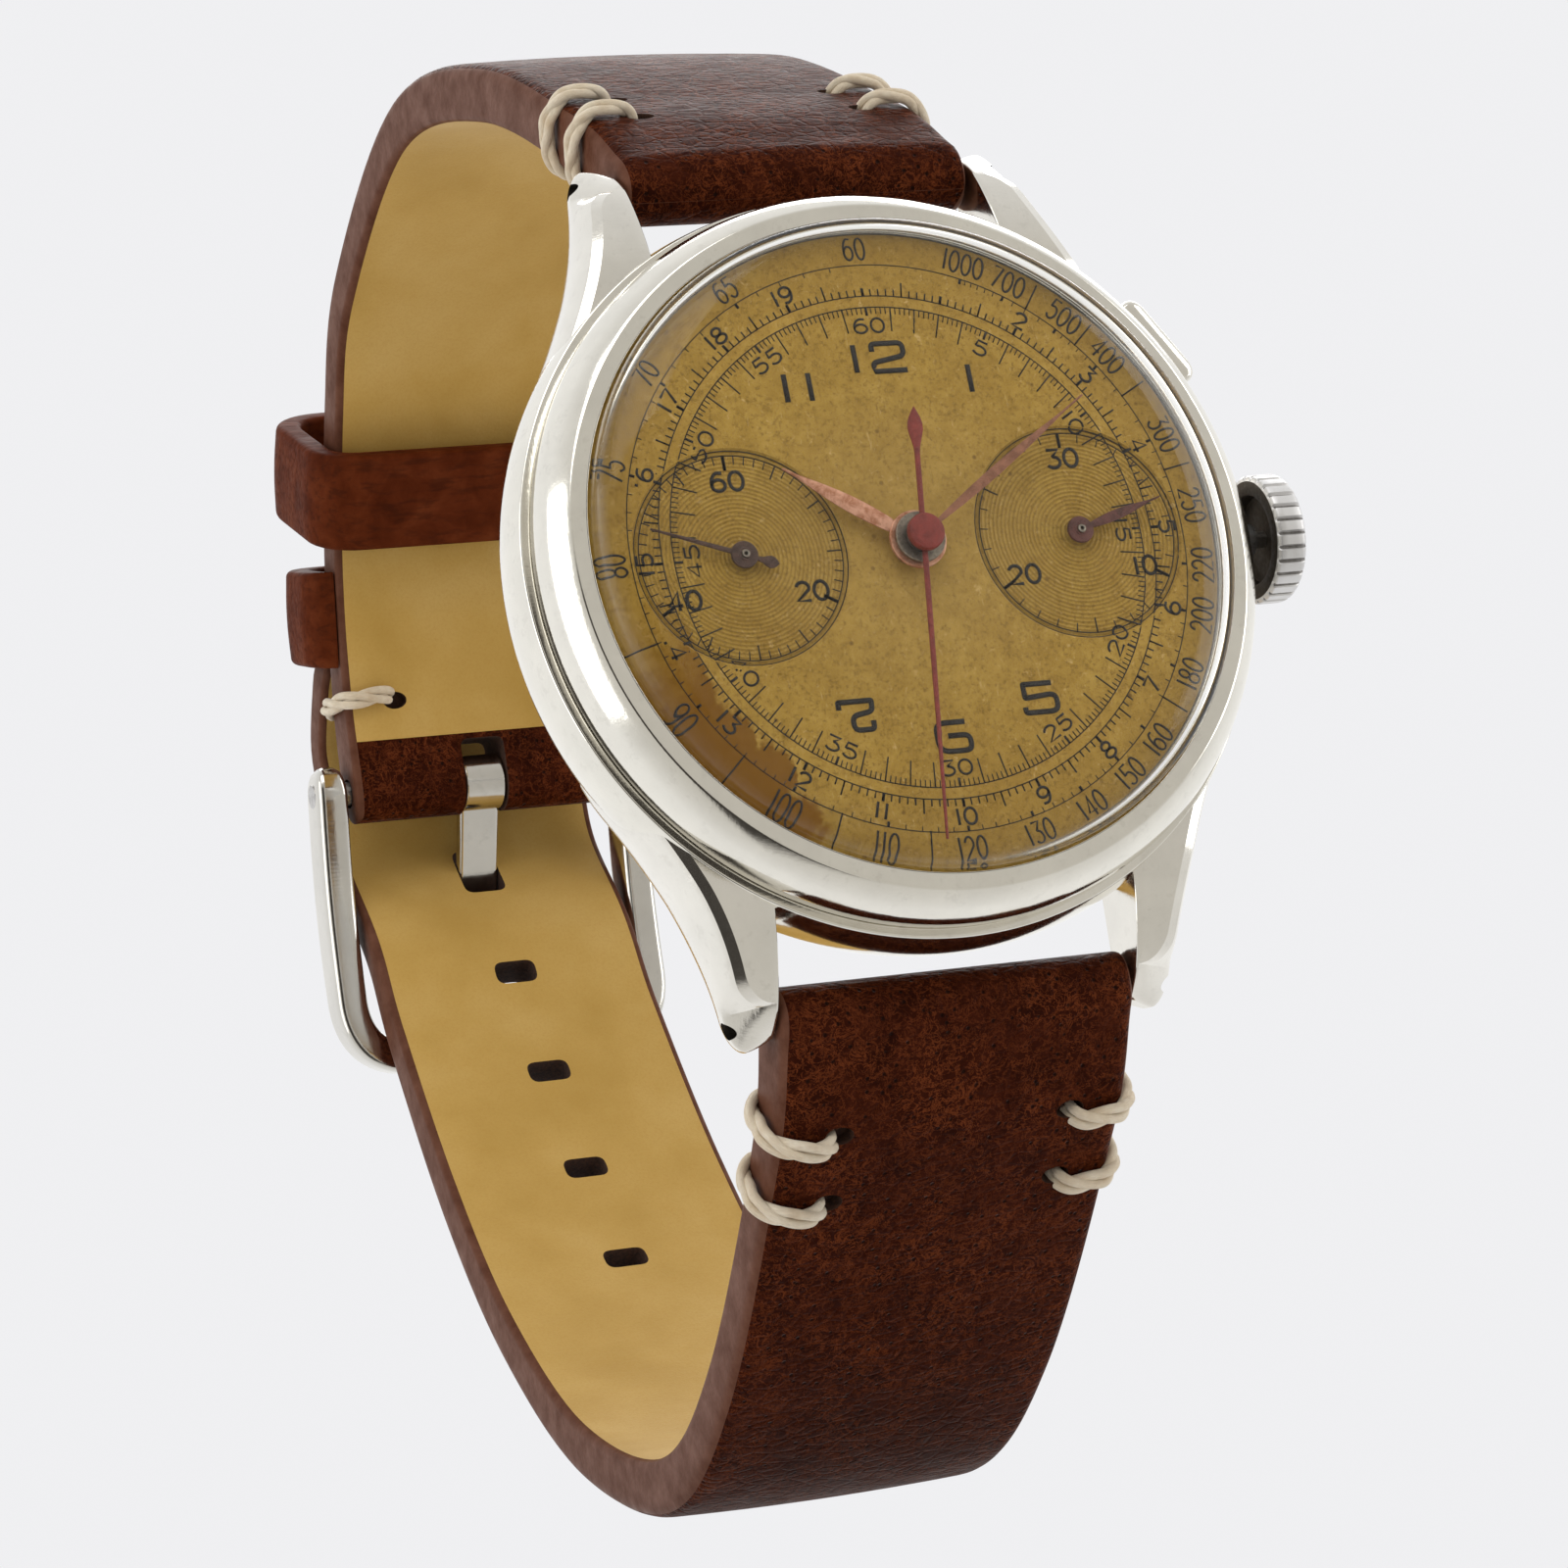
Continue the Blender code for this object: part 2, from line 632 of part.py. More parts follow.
def make_fixed_keeper(line, finish):
    """The sewn loop, an arch whose feet butt on the strap's edges."""
    distance = line.length - FIXED_KEEPER_FROM_BUCKLE
    here, forward, normal = line.along(distance)
    half = strap_half_width(line, distance - KEEPER_WIDTH) + FIT
    high = STRAP_THICKNESS / 2 + FIXED_KEEPER_ROOM
    corner = 1.6 * MM
    foot = -STRAP_THICKNESS * 0.3
    rings = []
    arc = [math.radians(a) for a in range(0, 91, 30)]
    inner = [(half, foot)] + [(half - corner + corner * math.cos(a), high - corner + corner * math.sin(a))
                              for a in arc]
    wide = corner + KEEPER_WALL
    outer = [(half + KEEPER_WALL, foot)] + [(half - corner + wide * math.cos(a),
                                             high - corner + wide * math.sin(a)) for a in arc]
    inner += [(-x, n) for x, n in inner[::-1]]
    outer += [(-x, n) for x, n in outer[::-1]]
    for (xi, ni), (xo, no) in zip(inner, outer):
        ring = []
        for x, n, shift in ((xi, ni, -1), (xo, no, -1), (xo, no, 1), (xi, ni, 1)):
            place = here + normal * n + forward * shift * KEEPER_WIDTH / 2
            ring.append((x, place.x, place.y))
        rings.append(ring)
    return loft("keeper_fixed", rings, finish)


def make_buckle(short, long, tongue_at, finish):
    """The frame and the tongue, which turn on one bar in the short strap's fold."""
    bar = short.points[-1]
    inside = STRAP_END_WIDTH / 2 + BUCKLE_SIDE_GAP
    outside = inside + BUCKLE_ARM_WIDTH
    rod("buckle_bar", BUCKLE_BAR_RADIUS, (-outside, *bar), (outside, *bar), finish, SMALL_STEPS)
    end_along = long_distance_near(long, bar, BUCKLE_LENGTH)
    here, _, normal = long.along(end_along)
    end = here + normal * (STRAP_THICKNESS / 2 + LAYER_GAP + BUCKLE_ARM_THICKNESS / 2 + FIT)
    make_frame(bar, end, inside, outside, finish)
    make_tongue(bar, end, long, tongue_at, finish)


def long_distance_near(long, bar, radius):
    """Length along the long strap where it lies at a radius below the buckle's bar."""
    distance = long.length / 2
    while distance < long.length:
        here, _, _ = long.along(distance)
        if (here - bar).length < radius:
            return distance
        distance += STRAP_STEP / 10
    return distance


def make_frame(bar, end, inside, outside, finish):
    """A flat-sided frame: two arms from the bar and a rounded cross piece over the long strap."""
    reach = end - bar
    down = reach.normalized()
    over = Vector((-down.y, down.x))
    length = reach.length
    half = BUCKLE_ARM_THICKNESS / 2
    corner = 2.6 * MM
    middle = (inside + outside) / 2
    lead = [(middle, -1.6 * MM), (middle, 0), (middle, length * 0.35), (middle, length * 0.7)]
    for degrees in (0, 30, 60, 90):
        a = math.radians(degrees)
        lead.append((middle - corner + corner * math.cos(a), length - corner + corner * math.sin(a)))
    path = lead + [(-x, s) for x, s in lead[::-1]]
    rings = []
    for i, (x, s) in enumerate(path):
        before = path[max(i - 1, 0)]
        after = path[min(i + 1, len(path) - 1)]
        run = Vector((after[0] - before[0], after[1] - before[1])).normalized()
        side = Vector((run.y, -run.x))
        bow = math.sin(math.pi * min(max(s / length, 0), 1)) * 0.9 * MM
        ring = []
        for degrees in range(0, 360, 45):
            a = math.radians(degrees + 22.5)
            across = math.cos(a) * BUCKLE_ARM_WIDTH / 2
            lift = math.sin(a) * half + bow
            place = bar + down * (s + side.y * across) + over * lift
            ring.append((x + side.x * across, place.x, place.y))
        rings.append(ring)
    frame = loft("buckle_frame", rings, finish)
    hole = rod("bar_hole", BUCKLE_BAR_RADIUS + FIT, (-2 * outside, *bar), (2 * outside, *bar))
    return cut(frame, hole)


def make_tongue(bar, end, long, tongue_at, finish):
    """A strip with an eye on the bar, through the long strap's hole and over the frame's end."""
    through, forward, normal = long.along(tongue_at)
    beyond = end + (end - bar).normalized() * 1.4 * MM
    rest = end + normal * (BUCKLE_ARM_THICKNESS / 2 + TONGUE_THICKNESS / 2 + 2 * FIT)
    eye = BUCKLE_BAR_RADIUS + FIT + 0.55 * MM
    start = bar + (through - bar).normalized() * (eye - 0.2 * MM)
    knee = through + normal * (TAIL_THICKNESS / 2 + 1.0 * MM) - forward * 1.2 * MM
    points = smooth_path([start, through, knee, (knee + rest) / 2 + normal * 0.5 * MM, rest,
                          beyond + normal * (BUCKLE_ARM_THICKNESS / 2 + TONGUE_THICKNESS / 2)], 2.0 * MM)
    rings = []
    for i, here in enumerate(points):
        run = (points[min(i + 1, len(points) - 1)] - points[max(i - 1, 0)]).normalized()
        side = Vector((-run.y, run.x)) * TONGUE_THICKNESS / 2
        half = TONGUE_WIDTH / 2 * (0.75 if i == len(points) - 1 else 1.0)
        ring = []
        for x, sign in ((half, 1), (-half, 1), (-half, -1), (half, -1)):
            place = here + side * sign
            ring.append((x, place.x, place.y))
        rings.append(ring)
    tongue = loft("buckle_tongue", rings, finish)
    half = TONGUE_WIDTH / 2
    combine(tongue, rod("eye", eye, (-half * 1.001, *bar), (half * 1.001, *bar)), "UNION")
    hole = rod("eye_hole", BUCKLE_BAR_RADIUS + FIT, (-TONGUE_SLOT, *bar), (TONGUE_SLOT, *bar))
    return cut(tongue, hole)


def arc_points(a, b, bulge, count):
    """Points from a to b on a curve that swells to one side, by (radius, height)."""
    run = Vector(b) - Vector(a)
    side = Vector((-run.y, run.x)) * bulge
    return [tuple(Vector(a) + run * i / count + side * 4 * (i / count) * (1 - i / count))
            for i in range(count + 1)]


def make_mid_case(finish):
    """The case ring with its bezel collar, four lugs, and the holes for crown, pusher and bars."""
    side = arc_points((CASE_RADIUS - CASE_SHOULDER, CASE_TOP), (CASE_RADIUS - CASE_UNDERCUT, CASE_BOTTOM), 0.12, 6)
    rough_bore = BORE_RADIUS - 1.0 * MM
    profile = [(COLLAR_RADIUS, COLLAR_TOP), (COLLAR_RADIUS, CASE_TOP), *side,
               (rough_bore, CASE_BOTTOM), (rough_bore, COLLAR_TOP)]
    case = turned("mid_case", profile, finish)
    for across in (-1, 1):
        for up in (-1, 1):
            combine(case, make_lug(across, up), "UNION")
    bore = cylinder("bore", BORE_RADIUS, -CASE_TOP, 2 * COLLAR_TOP, steps=2 * ROUND_STEPS)
    height = CROWN_HEIGHT
    stem_hole = rod("stem_hole", TUBE_RADIUS + FIT, (BORE_RADIUS - 2 * MM, 0, height),
                    (2 * CASE_RADIUS, 0, height))
    cut(case, bore, stem_hole, pusher_pocket(), pusher_hole(BORE_RADIUS - 2 * MM))
    for up in (-1, 1):
        cut(case, rod("lug_hole", BAR_PIN_RADIUS + FIT, (-LUG_SPAN, up * BAR_Y, BAR_HEIGHT),
                      (LUG_SPAN, up * BAR_Y, BAR_HEIGHT)))
    return case


def make_lug(across, up):
    """One lug: it leaves the case's flank, draws in to the strap and droops to a round tip."""
    tip = LUG_SPAN / 2
    inner = LUG_GAP / 2
    root_x = math.sqrt((CASE_RADIUS - 0.25 * MM) ** 2 - LUG_ROOT_Y ** 2)
    tip_x = inner + LUG_TIP_WIDTH
    clear_y = math.sqrt(BACK_RIM_RADIUS ** 2 - inner ** 2) + 2 * FIT
    clear = (clear_y - LUG_ROOT_Y) / (tip - LUG_ROOT_Y)
    stations = 9
    rings = []
    for i in range(stations + 1):
        share = i / stations
        y = LUG_ROOT_Y + (tip - LUG_ROOT_Y) * math.sin(share * math.pi / 2)
        t = (y - LUG_ROOT_Y) / (tip - LUG_ROOT_Y)
        end_round = math.sqrt(max(0.0, 1 - max(0, (t - 0.88) / 0.12) ** 2))
        x = root_x + (tip_x - root_x) * (1 - (1 - t) ** 1.7)
        x = inner + (x - inner) * (0.45 + 0.55 * end_round)
        droop = max(0, (t - 0.45) / 0.55)
        top = CASE_TOP - 0.12 * MM - 3.0 * MM * droop ** 1.7
        low = CASE_BOTTOM + 0.1 * MM - 0.75 * MM * max(0, (t - clear) / (1 - clear))
        middle = BAR_HEIGHT
        top = middle + (top - middle) * (0.35 + 0.65 * end_round)
        low = middle + (low - middle) * (0.35 + 0.65 * end_round)
        rail = min(0.7 * MM, (x - inner) * 0.35)
        rings.append([(across * px, up * y, pz) for px, pz in (
            (inner, low), (inner, top), (x - 1.6 * rail, top), (x - 0.4 * rail, top - 0.45 * rail),
            (x, top - 1.6 * rail), (x - 0.5 * rail, low))])
    return loft("lug", rings)


def pusher_direction():
    """The way out along the pusher, from its place on the dial."""
    angle = math.radians(PUSHER_ANGLE)
    return Vector((math.sin(angle), math.cos(angle), 0))


def pusher_pocket():
    """The recess that the pusher's head sinks into."""
    floor = CASE_RADIUS - PUSHER_TRAVEL - 0.55 * MM
    depth = CASE_RADIUS
    at = pusher_direction() * (floor + depth / 2)
    size = (depth, PUSHER_WIDTH + 4 * FIT, PUSHER_THICKNESS + 4 * FIT)
    return block("pusher_pocket", size, (at.x, at.y, PUSHER_HEIGHT), turn=math.radians(90 - PUSHER_ANGLE))


def pusher_hole(start):
    """The hole for the pusher's stem, from a radius out through the case."""
    way = pusher_direction()
    lift = Vector((0, 0, PUSHER_HEIGHT))
    return rod("pusher_hole", STEM_RADIUS + 2 * FIT, way * start + lift, way * (CASE_RADIUS + 2 * MM) + lift)


def make_head_shells(finishes):
    """Bezel, crystal, case back and the ring that centres the movement."""
    flank = arc_points((LIP_RADIUS + BEZEL_FLAT, BEZEL_TOP - 0.05 * MM), (BEZEL_RADIUS, CASE_TOP + 0.1 * MM),
                       0.16, 5)
    bore = COLLAR_RADIUS + FIT
    seat = BORE_RADIUS
    under_lip = BEZEL_TOP - 0.3 * MM
    turned("bezel", [(LIP_RADIUS, BEZEL_TOP), *flank, (bore, CASE_TOP + 0.1 * MM), (bore, COLLAR_TOP + FIT),
                     (seat, COLLAR_TOP + FIT), (seat, under_lip), (LIP_RADIUS, under_lip)], finishes["steel"])
    flange = BORE_RADIUS - FIT
    foot = DIAL_TOP + 0.12 * MM
    outer = [(CRYSTAL_RADIUS, under_lip - FIT), (CRYSTAL_RADIUS, CRYSTAL_SHOULDER - 0.5 * MM)]
    outer = dome(CRYSTAL_APEX, CRYSTAL_RADIUS, CRYSTAL_SHOULDER) + outer[::-1]
    inner_radius = CRYSTAL_RADIUS - CRYSTAL_WALL
    inner = dome(CRYSTAL_APEX - CRYSTAL_THICKNESS, inner_radius, CRYSTAL_SHOULDER - 0.25 * MM)[::-1]
    turned("crystal", [*outer, (flange, under_lip - FIT), (flange, foot), (inner_radius, foot), *inner],
           finishes["crystal"], ring=False)
    skirt = BORE_RADIUS - FIT
    rim = BACK_RIM_RADIUS
    back = [(skirt, CASE_BOTTOM + 0.9 * MM), (skirt, CASE_BOTTOM - FIT), (rim, CASE_BOTTOM - FIT),
            (rim, 0.85 * MM), (BACK_FLAT_RADIUS + 1.2 * MM, 0.25 * MM), (BACK_FLAT_RADIUS, 0), (0, 0)]
    inside = [(0, BACK_THICKNESS), (skirt - 0.5 * MM, BACK_THICKNESS), (skirt - 0.5 * MM, CASE_BOTTOM + 0.9 * MM)]
    cover = turned("case_back", inside + back, finishes["steel"], ring=False)
    cut(cover, block("lever_notch", (1.2 * MM, 3 * MM, 0.5 * MM), (rim, 0, CASE_BOTTOM - FIT), turn=0))
    ring_inner = CALIBRE_RADIUS + FIT
    low = CASE_BOTTOM + 1.0 * MM
    high = DIAL_TOP - DIAL_THICKNESS - FIT
    ring = turned("movement_ring", [(skirt, high), (skirt, low), (ring_inner, low), (ring_inner, high)],
                  finishes["brass"])
    stem = rod("ring_stem_hole", STEM_RADIUS + 2 * FIT, (CALIBRE_RADIUS - 2 * MM, 0, CROWN_HEIGHT),
               (BORE_RADIUS + 2 * MM, 0, CROWN_HEIGHT))
    cut(ring, stem, pusher_hole(CALIBRE_RADIUS - 2 * MM))


def dome(apex, radius, shoulder):
    """A domed top from the axis to its rounded shoulder, by (radius, height)."""
    points = []
    for share in (0, 0.4, 0.7, 0.88, 0.96, 1.0):
        points.append((radius * share, shoulder + (apex - shoulder) * (1 - share ** 2.6)))
    return points[:-1] + [(radius, shoulder - 0.25 * MM)]


def make_dial(finish):
    """The dial plate with two sunk registers and the holes for the hands' pipes."""
    low = DIAL_TOP - DIAL_THICKNESS
    dial = cylinder("dial", DIAL_RADIUS, low, DIAL_TOP, finish, steps=ROUND_STEPS)
    cut(dial, cylinder("pipe_hole", HOUR_PIPE_RADIUS + 2 * FIT, 0, 2 * DIAL_TOP))
    for side in (-1, 1):
        at = (side * SUBDIAL_OFFSET, 0)
        cut(dial, cylinder("register", SUBDIAL_RADIUS, DIAL_TOP - SUBDIAL_DEPTH, 2 * DIAL_TOP, at=at, steps=24),
            cylinder("arbor_hole", ARBOR_RADIUS + 2 * FIT, 0, 2 * DIAL_TOP, at=at))
    return dial


def half_outline(points):
    """A closed outline from the points up its right side, mirrored to the left."""
    return points + [(-x, y) for x, y in points[::-1] if x > 0]


def hub_arc(radius, low_width, high_width):
    """The right side of a hub, between the widths of the tail below and the hand above."""
    first = -math.acos(low_width / radius)
    last = math.acos(high_width / radius)
    count = 8
    angles = [first + (last - first) * i / count for i in range(count + 1)]
    return [(radius * math.cos(a), radius * math.sin(a)) for a in angles]


def leaf_side(start, length, root, widest, tip):
    """The right side of a leaf blade from its hub to its tip."""
    points = []
    for share in (0.12, 0.3, 0.5, 0.7, 0.86):
        swell = math.sin(math.pi * min(share * 1.15, 1) ** 0.9)
        points.append((root * (1 - share) + tip * share + (widest - root) * swell, start + (length - start) * share))
    return points + [(tip, length)]


def make_hands(finishes):
    """The five hands, each on its own axis, turned to where the photograph shows them."""
    register = (SUBDIAL_OFFSET, 0)
    hour_hub = HOUR_PIPE_RADIUS + 0.5 * MM
    minute_hub = CANNON_RADIUS + 0.5 * MM
    hour = hub_arc(hour_hub, 0, 0.2 * MM) + leaf_side(hour_hub, HOUR_HAND_LENGTH, 0.2 * MM, 0.5 * MM, 0.05 * MM)
    minute = hub_arc(minute_hub, 0, 0.1 * MM) + leaf_side(minute_hub, MINUTE_HAND_LENGTH, 0.1 * MM, 0.26 * MM,
                                                           0.05 * MM)
    hand("hour_hand", hour, HOUR_PIPE_RADIUS, HOUR_HAND_Z, HOUR_AT_REST, (0, 0), finishes["copper"])
    hand("minute_hand", minute, CANNON_RADIUS, MINUTE_HAND_Z, MINUTE_AT_REST, (0, 0), finishes["copper"])
    tail = CHRONO_TAIL_LENGTH
    spear = [(0.02 * MM, -tail), (0.38 * MM, -tail + 1.1 * MM), (0.13 * MM, -tail + 2.3 * MM)]
    chrono = spear + hub_arc(1.1 * MM, 0.13 * MM, 0.13 * MM) + [(0.13 * MM, CHRONO_HAND_LENGTH * 0.5),
                                                              (0.06 * MM, CHRONO_HAND_LENGTH)]
    hand("chrono_seconds_hand", chrono, CHRONO_ARBOR_RADIUS, CHRONO_HAND_Z, CHRONO_AT_REST, (0, 0),
         finishes["red"])
    tail = REGISTER_TAIL_LENGTH
    hub = 0.74 * MM
    knob = [(0.06 * MM, -tail), (0.3 * MM, -tail + 0.25 * MM), (0.1 * MM, -tail + 0.7 * MM)]
    small = knob + hub_arc(hub, 0.1 * MM, 0.12 * MM) + [(0.04 * MM, REGISTER_HAND_LENGTH)]
    hand("small_seconds_hand", small, ARBOR_RADIUS, REGISTER_HAND_Z, SECONDS_AT_REST,
         (-register[0], 0), finishes["copper"])
    counter = hub_arc(hub, 0, 0.1 * MM) + leaf_side(hub, REGISTER_HAND_LENGTH, 0.1 * MM, 0.27 * MM, 0.04 * MM)
    hand("minute_counter_hand", counter, ARBOR_RADIUS, REGISTER_HAND_Z, COUNTER_AT_REST, register,
         finishes["copper"])


def hand(name, right_side, arbor, low, degrees, at, finish):
    """A flat hand on an arbor, pointing so many degrees clockwise from 12 o'clock."""
    outline = half_outline(right_side)
    hole = circle(arbor + 0.6 * FIT, 14)[::-1]
    return flat(name, [outline, hole], low, low + HAND_THICKNESS, finish, at, -math.radians(degrees))


def wheel(name, at, sections, finish, teeth, bore=None):
    """A wheel on its arbor: (height, radius, tooth depth) steps from the bottom up, with any bore."""
    count = 2 * teeth
    rings = []
    for height, radius, tooth in sections:
        ring = []
        for i in range(count):
            a = math.tau * i / count
            r = radius - tooth * (i % 2)
            ring.append((r * math.cos(a), r * math.sin(a), height))
        rings.append(ring)
    if bore:
        low = sections[0][0]
        high = sections[-1][0]
        for height in (high, low):
            rings.append([(bore * math.cos(math.tau * i / count), bore * math.sin(math.tau * i / count), height)
                          for i in range(count)])
    piece = loft(name, rings, finish, closed=bool(bore))
    piece.location = (at[0], at[1], 0)
    return piece


def arbor_wheel(name, at, foot, head, parts, finish, teeth=10, radius=ARBOR_RADIUS):
    """A wheel whose arbor runs from foot to head and carries discs (low, high, radius, tooth)."""
    sections = [(foot, radius, 0)]
    for low, high, disc, tooth in parts:
        sections += [(low, radius, 0), (low, disc, tooth), (high, disc, tooth), (high, radius, 0)]
    sections.append((head, radius, 0))
    return wheel(name, at, sections, finish, teeth)


def triangle_corner(a, b, from_a, from_b, sign):
    """The point at given distances from two others, on one side of their line."""
    line = b - a
    span = line.length
    along = (from_a ** 2 - from_b ** 2 + span ** 2) / (2 * span)
    off = math.sqrt(from_a ** 2 - along ** 2)
    unit = line / span
    return a + unit * along + Vector((-unit.y, unit.x)) * off * sign


def make_movement(finishes):
    """Plates, motion work, going train, balance and chronograph wheels."""
    brass = finishes["brass"]
    steel = finishes["grey_steel"]
    center = Vector((0, 0))
    fourth_at = Vector((-SUBDIAL_OFFSET, 0))
    counter_at = Vector((SUBDIAL_OFFSET, 0))
    third_at = triangle_corner(center, fourth_at, CENTER_WHEEL_RADIUS + THIRD_PINION_RADIUS + MESH_GAP,
                               THIRD_WHEEL_RADIUS + FOURTH_PINION_RADIUS + MESH_GAP, -1)
    escape_at = fourth_at + Vector((0.342, -0.940)) * (FOURTH_WHEEL_RADIUS + ESCAPE_PINION_RADIUS + MESH_GAP)
    pallet_at = escape_at + Vector((0.5, -0.866)) * (ESCAPE_WHEEL_RADIUS + 0.6 * MM)
    barrel_at = Vector((0.5, 0.866)) * (BARREL_RADIUS + CENTER_PINION_RADIUS + MESH_GAP)
    motion_at = Vector((0, -MOTION_DISTANCE - MESH_GAP))
    make_plates(brass, counter_at, motion_at)
    make_motion_work(steel, motion_at)
    head = PLATE_BOTTOM - FIT
    foot = BRIDGE_TOP + FIT
    center_top = CENTER_LEVEL + WHEEL_THICKNESS
    third_top = THIRD_LEVEL + WHEEL_THICKNESS
    fourth_top = FOURTH_LEVEL + WHEEL_THICKNESS
    wheel("center_wheel", center, [(foot, CENTER_PINION_RADIUS, 0), (CENTER_LEVEL, CENTER_PINION_RADIUS, 0),
                                   (CENTER_LEVEL, CENTER_WHEEL_RADIUS, 0.25 * MM),
                                   (center_top, CENTER_WHEEL_RADIUS, 0.25 * MM),
                                   (center_top, CANNON_RADIUS, 0), (head, CANNON_RADIUS, 0)], brass, 12, CANNON_BORE)
    arbor_wheel("third_wheel", third_at, foot, head,
                [(THIRD_LEVEL, third_top, THIRD_WHEEL_RADIUS, 0.25 * MM),
                 (CENTER_LEVEL, center_top, THIRD_PINION_RADIUS, 0.1 * MM)], brass)
    arbor_wheel("fourth_wheel", fourth_at, foot, REGISTER_HAND_Z + HAND_THICKNESS + FIT,
                [(FOURTH_LEVEL, fourth_top, FOURTH_WHEEL_RADIUS, 0.25 * MM),
                 (THIRD_LEVEL, third_top, FOURTH_PINION_RADIUS, 0.1 * MM)], brass)
    arbor_wheel("escape_wheel", escape_at, foot, head,
                [(FOURTH_LEVEL, fourth_top, ESCAPE_PINION_RADIUS, 0.05 * MM),
                 (CENTER_LEVEL, center_top, ESCAPE_WHEEL_RADIUS, 0.5 * MM)], steel, teeth=10)
    arbor_wheel("mainspring_barrel", barrel_at, foot, head,
                [(BARREL_LEVEL, THIRD_LEVEL - LEVEL_GAP, BARREL_RADIUS, 0.3 * MM)], brass, teeth=16,
                radius=BARREL_ARBOR_RADIUS)
    arbor_wheel("chrono_wheel", center, CHRONO_BRIDGE_TOP + FIT, CHRONO_HAND_Z + HAND_THICKNESS + FIT,
                [(2.25 * MM, 2.5 * MM, CHRONO_WHEEL_RADIUS, 0.2 * MM)], brass, teeth=12,
                radius=CHRONO_ARBOR_RADIUS)
    arbor_wheel("counter_wheel", counter_at, CHRONO_BRIDGE_TOP + FIT, REGISTER_HAND_Z + HAND_THICKNESS + FIT,
                [(2.25 * MM, 2.5 * MM, COUNTER_WHEEL_RADIUS, 0.2 * MM)], brass, teeth=12)
    make_escapement(pallet_at, escape_at, finishes)


def make_plates(brass, counter_at, motion_at):
    """The main plate, the three-quarter train bridge, the chronograph bridge and the balance cock."""
    plate = cylinder("main_plate", CALIBRE_RADIUS, PLATE_BOTTOM, PLATE_TOP, brass, steps=ROUND_STEPS)
    pocket = PLATE_TOP - 0.75 * MM
    deep = 2 * PLATE_TOP
    cut(plate, cylinder("hour_pocket", MOTION_DISTANCE * 0.8 + 0.3 * MM, pocket, deep, steps=24),
        cylinder("minute_pocket", MOTION_DISTANCE * 0.75 + 0.3 * MM, pocket, deep, at=motion_at, steps=24),
        cylinder("center_hole", CANNON_RADIUS + 2 * FIT, 0, deep))
    for side in (-1, 1):
        cut(plate, cylinder("arbor_hole", ARBOR_RADIUS + 2 * FIT, 0, deep, at=(side * SUBDIAL_OFFSET, 0)))
    bridge = cylinder("train_bridge", CALIBRE_RADIUS, BRIDGE_BOTTOM, BRIDGE_TOP, brass, steps=ROUND_STEPS)
    opening = flat("balance_opening", [capsule(BALANCE_AT, COCK_FOOT_AT * 1.5, BALANCE_RADIUS + 0.7 * MM)],
                   0, deep)
    cut(bridge, opening, cylinder("chrono_hole", CHRONO_ARBOR_RADIUS + 2 * FIT, 0, deep),
        cylinder("counter_hole", ARBOR_RADIUS + 2 * FIT, 0, deep, at=counter_at))
    reach = CALIBRE_RADIUS - 2.0 * MM
    chrono = flat("chronograph_bridge", [capsule((0, 0), (reach, 0), 1.6 * MM)], CHRONO_BRIDGE_BOTTOM,
                  CHRONO_BRIDGE_TOP, brass)
    combine(chrono, cylinder("bridge_foot", 1.2 * MM, CHRONO_BRIDGE_TOP - 0.1 * MM, BRIDGE_BOTTOM - FIT,
                             at=(reach, 0)), "UNION")
    cock = flat("balance_cock", [capsule(BALANCE_AT, COCK_FOOT_AT, 1.2 * MM)], COCK_BOTTOM, COCK_TOP, brass)
    combine(cock, cylinder("cock_foot", 1.1 * MM, COCK_TOP - 0.1 * MM, PLATE_BOTTOM - FIT, at=COCK_FOOT_AT),
            "UNION")


def make_motion_work(steel, motion_at):
    """Cannon pinion, minute wheel and hour wheel, with pitch radii for a 12 to 1 step down."""
    cannon = MOTION_DISTANCE / 4
    minute = MOTION_DISTANCE * 3 / 4
    pinion = MOTION_DISTANCE / 5
    hour = MOTION_DISTANCE * 4 / 5
    low = PLATE_TOP - 0.65 * MM
    step = PLATE_TOP - 0.4 * MM
    high = PLATE_TOP - 0.1 * MM
    wheel("cannon_pinion", (0, 0), [(PLATE_BOTTOM, CANNON_RADIUS, 0), (low, CANNON_RADIUS, 0), (low, cannon, 0.15 * MM),
                                    (step, cannon, 0.15 * MM), (step, CANNON_RADIUS, 0),
                                    (MINUTE_HAND_Z + HAND_THICKNESS + FIT, CANNON_RADIUS, 0)], steel, 9, CANNON_BORE)
    wheel("minute_wheel", motion_at, [(low, minute, 0.25 * MM), (step, minute, 0.25 * MM), (step, pinion, 0.1 * MM),
                                      (high, pinion, 0.1 * MM)], steel, 12, ARBOR_RADIUS)
    wheel("hour_wheel", (0, 0), [(step + FIT, hour, 0.25 * MM), (high, hour, 0.25 * MM), (high, HOUR_PIPE_RADIUS, 0),
                                 (HOUR_HAND_Z + HAND_THICKNESS + FIT, HOUR_PIPE_RADIUS, 0)], steel, 12,
          HOUR_PIPE_BORE)


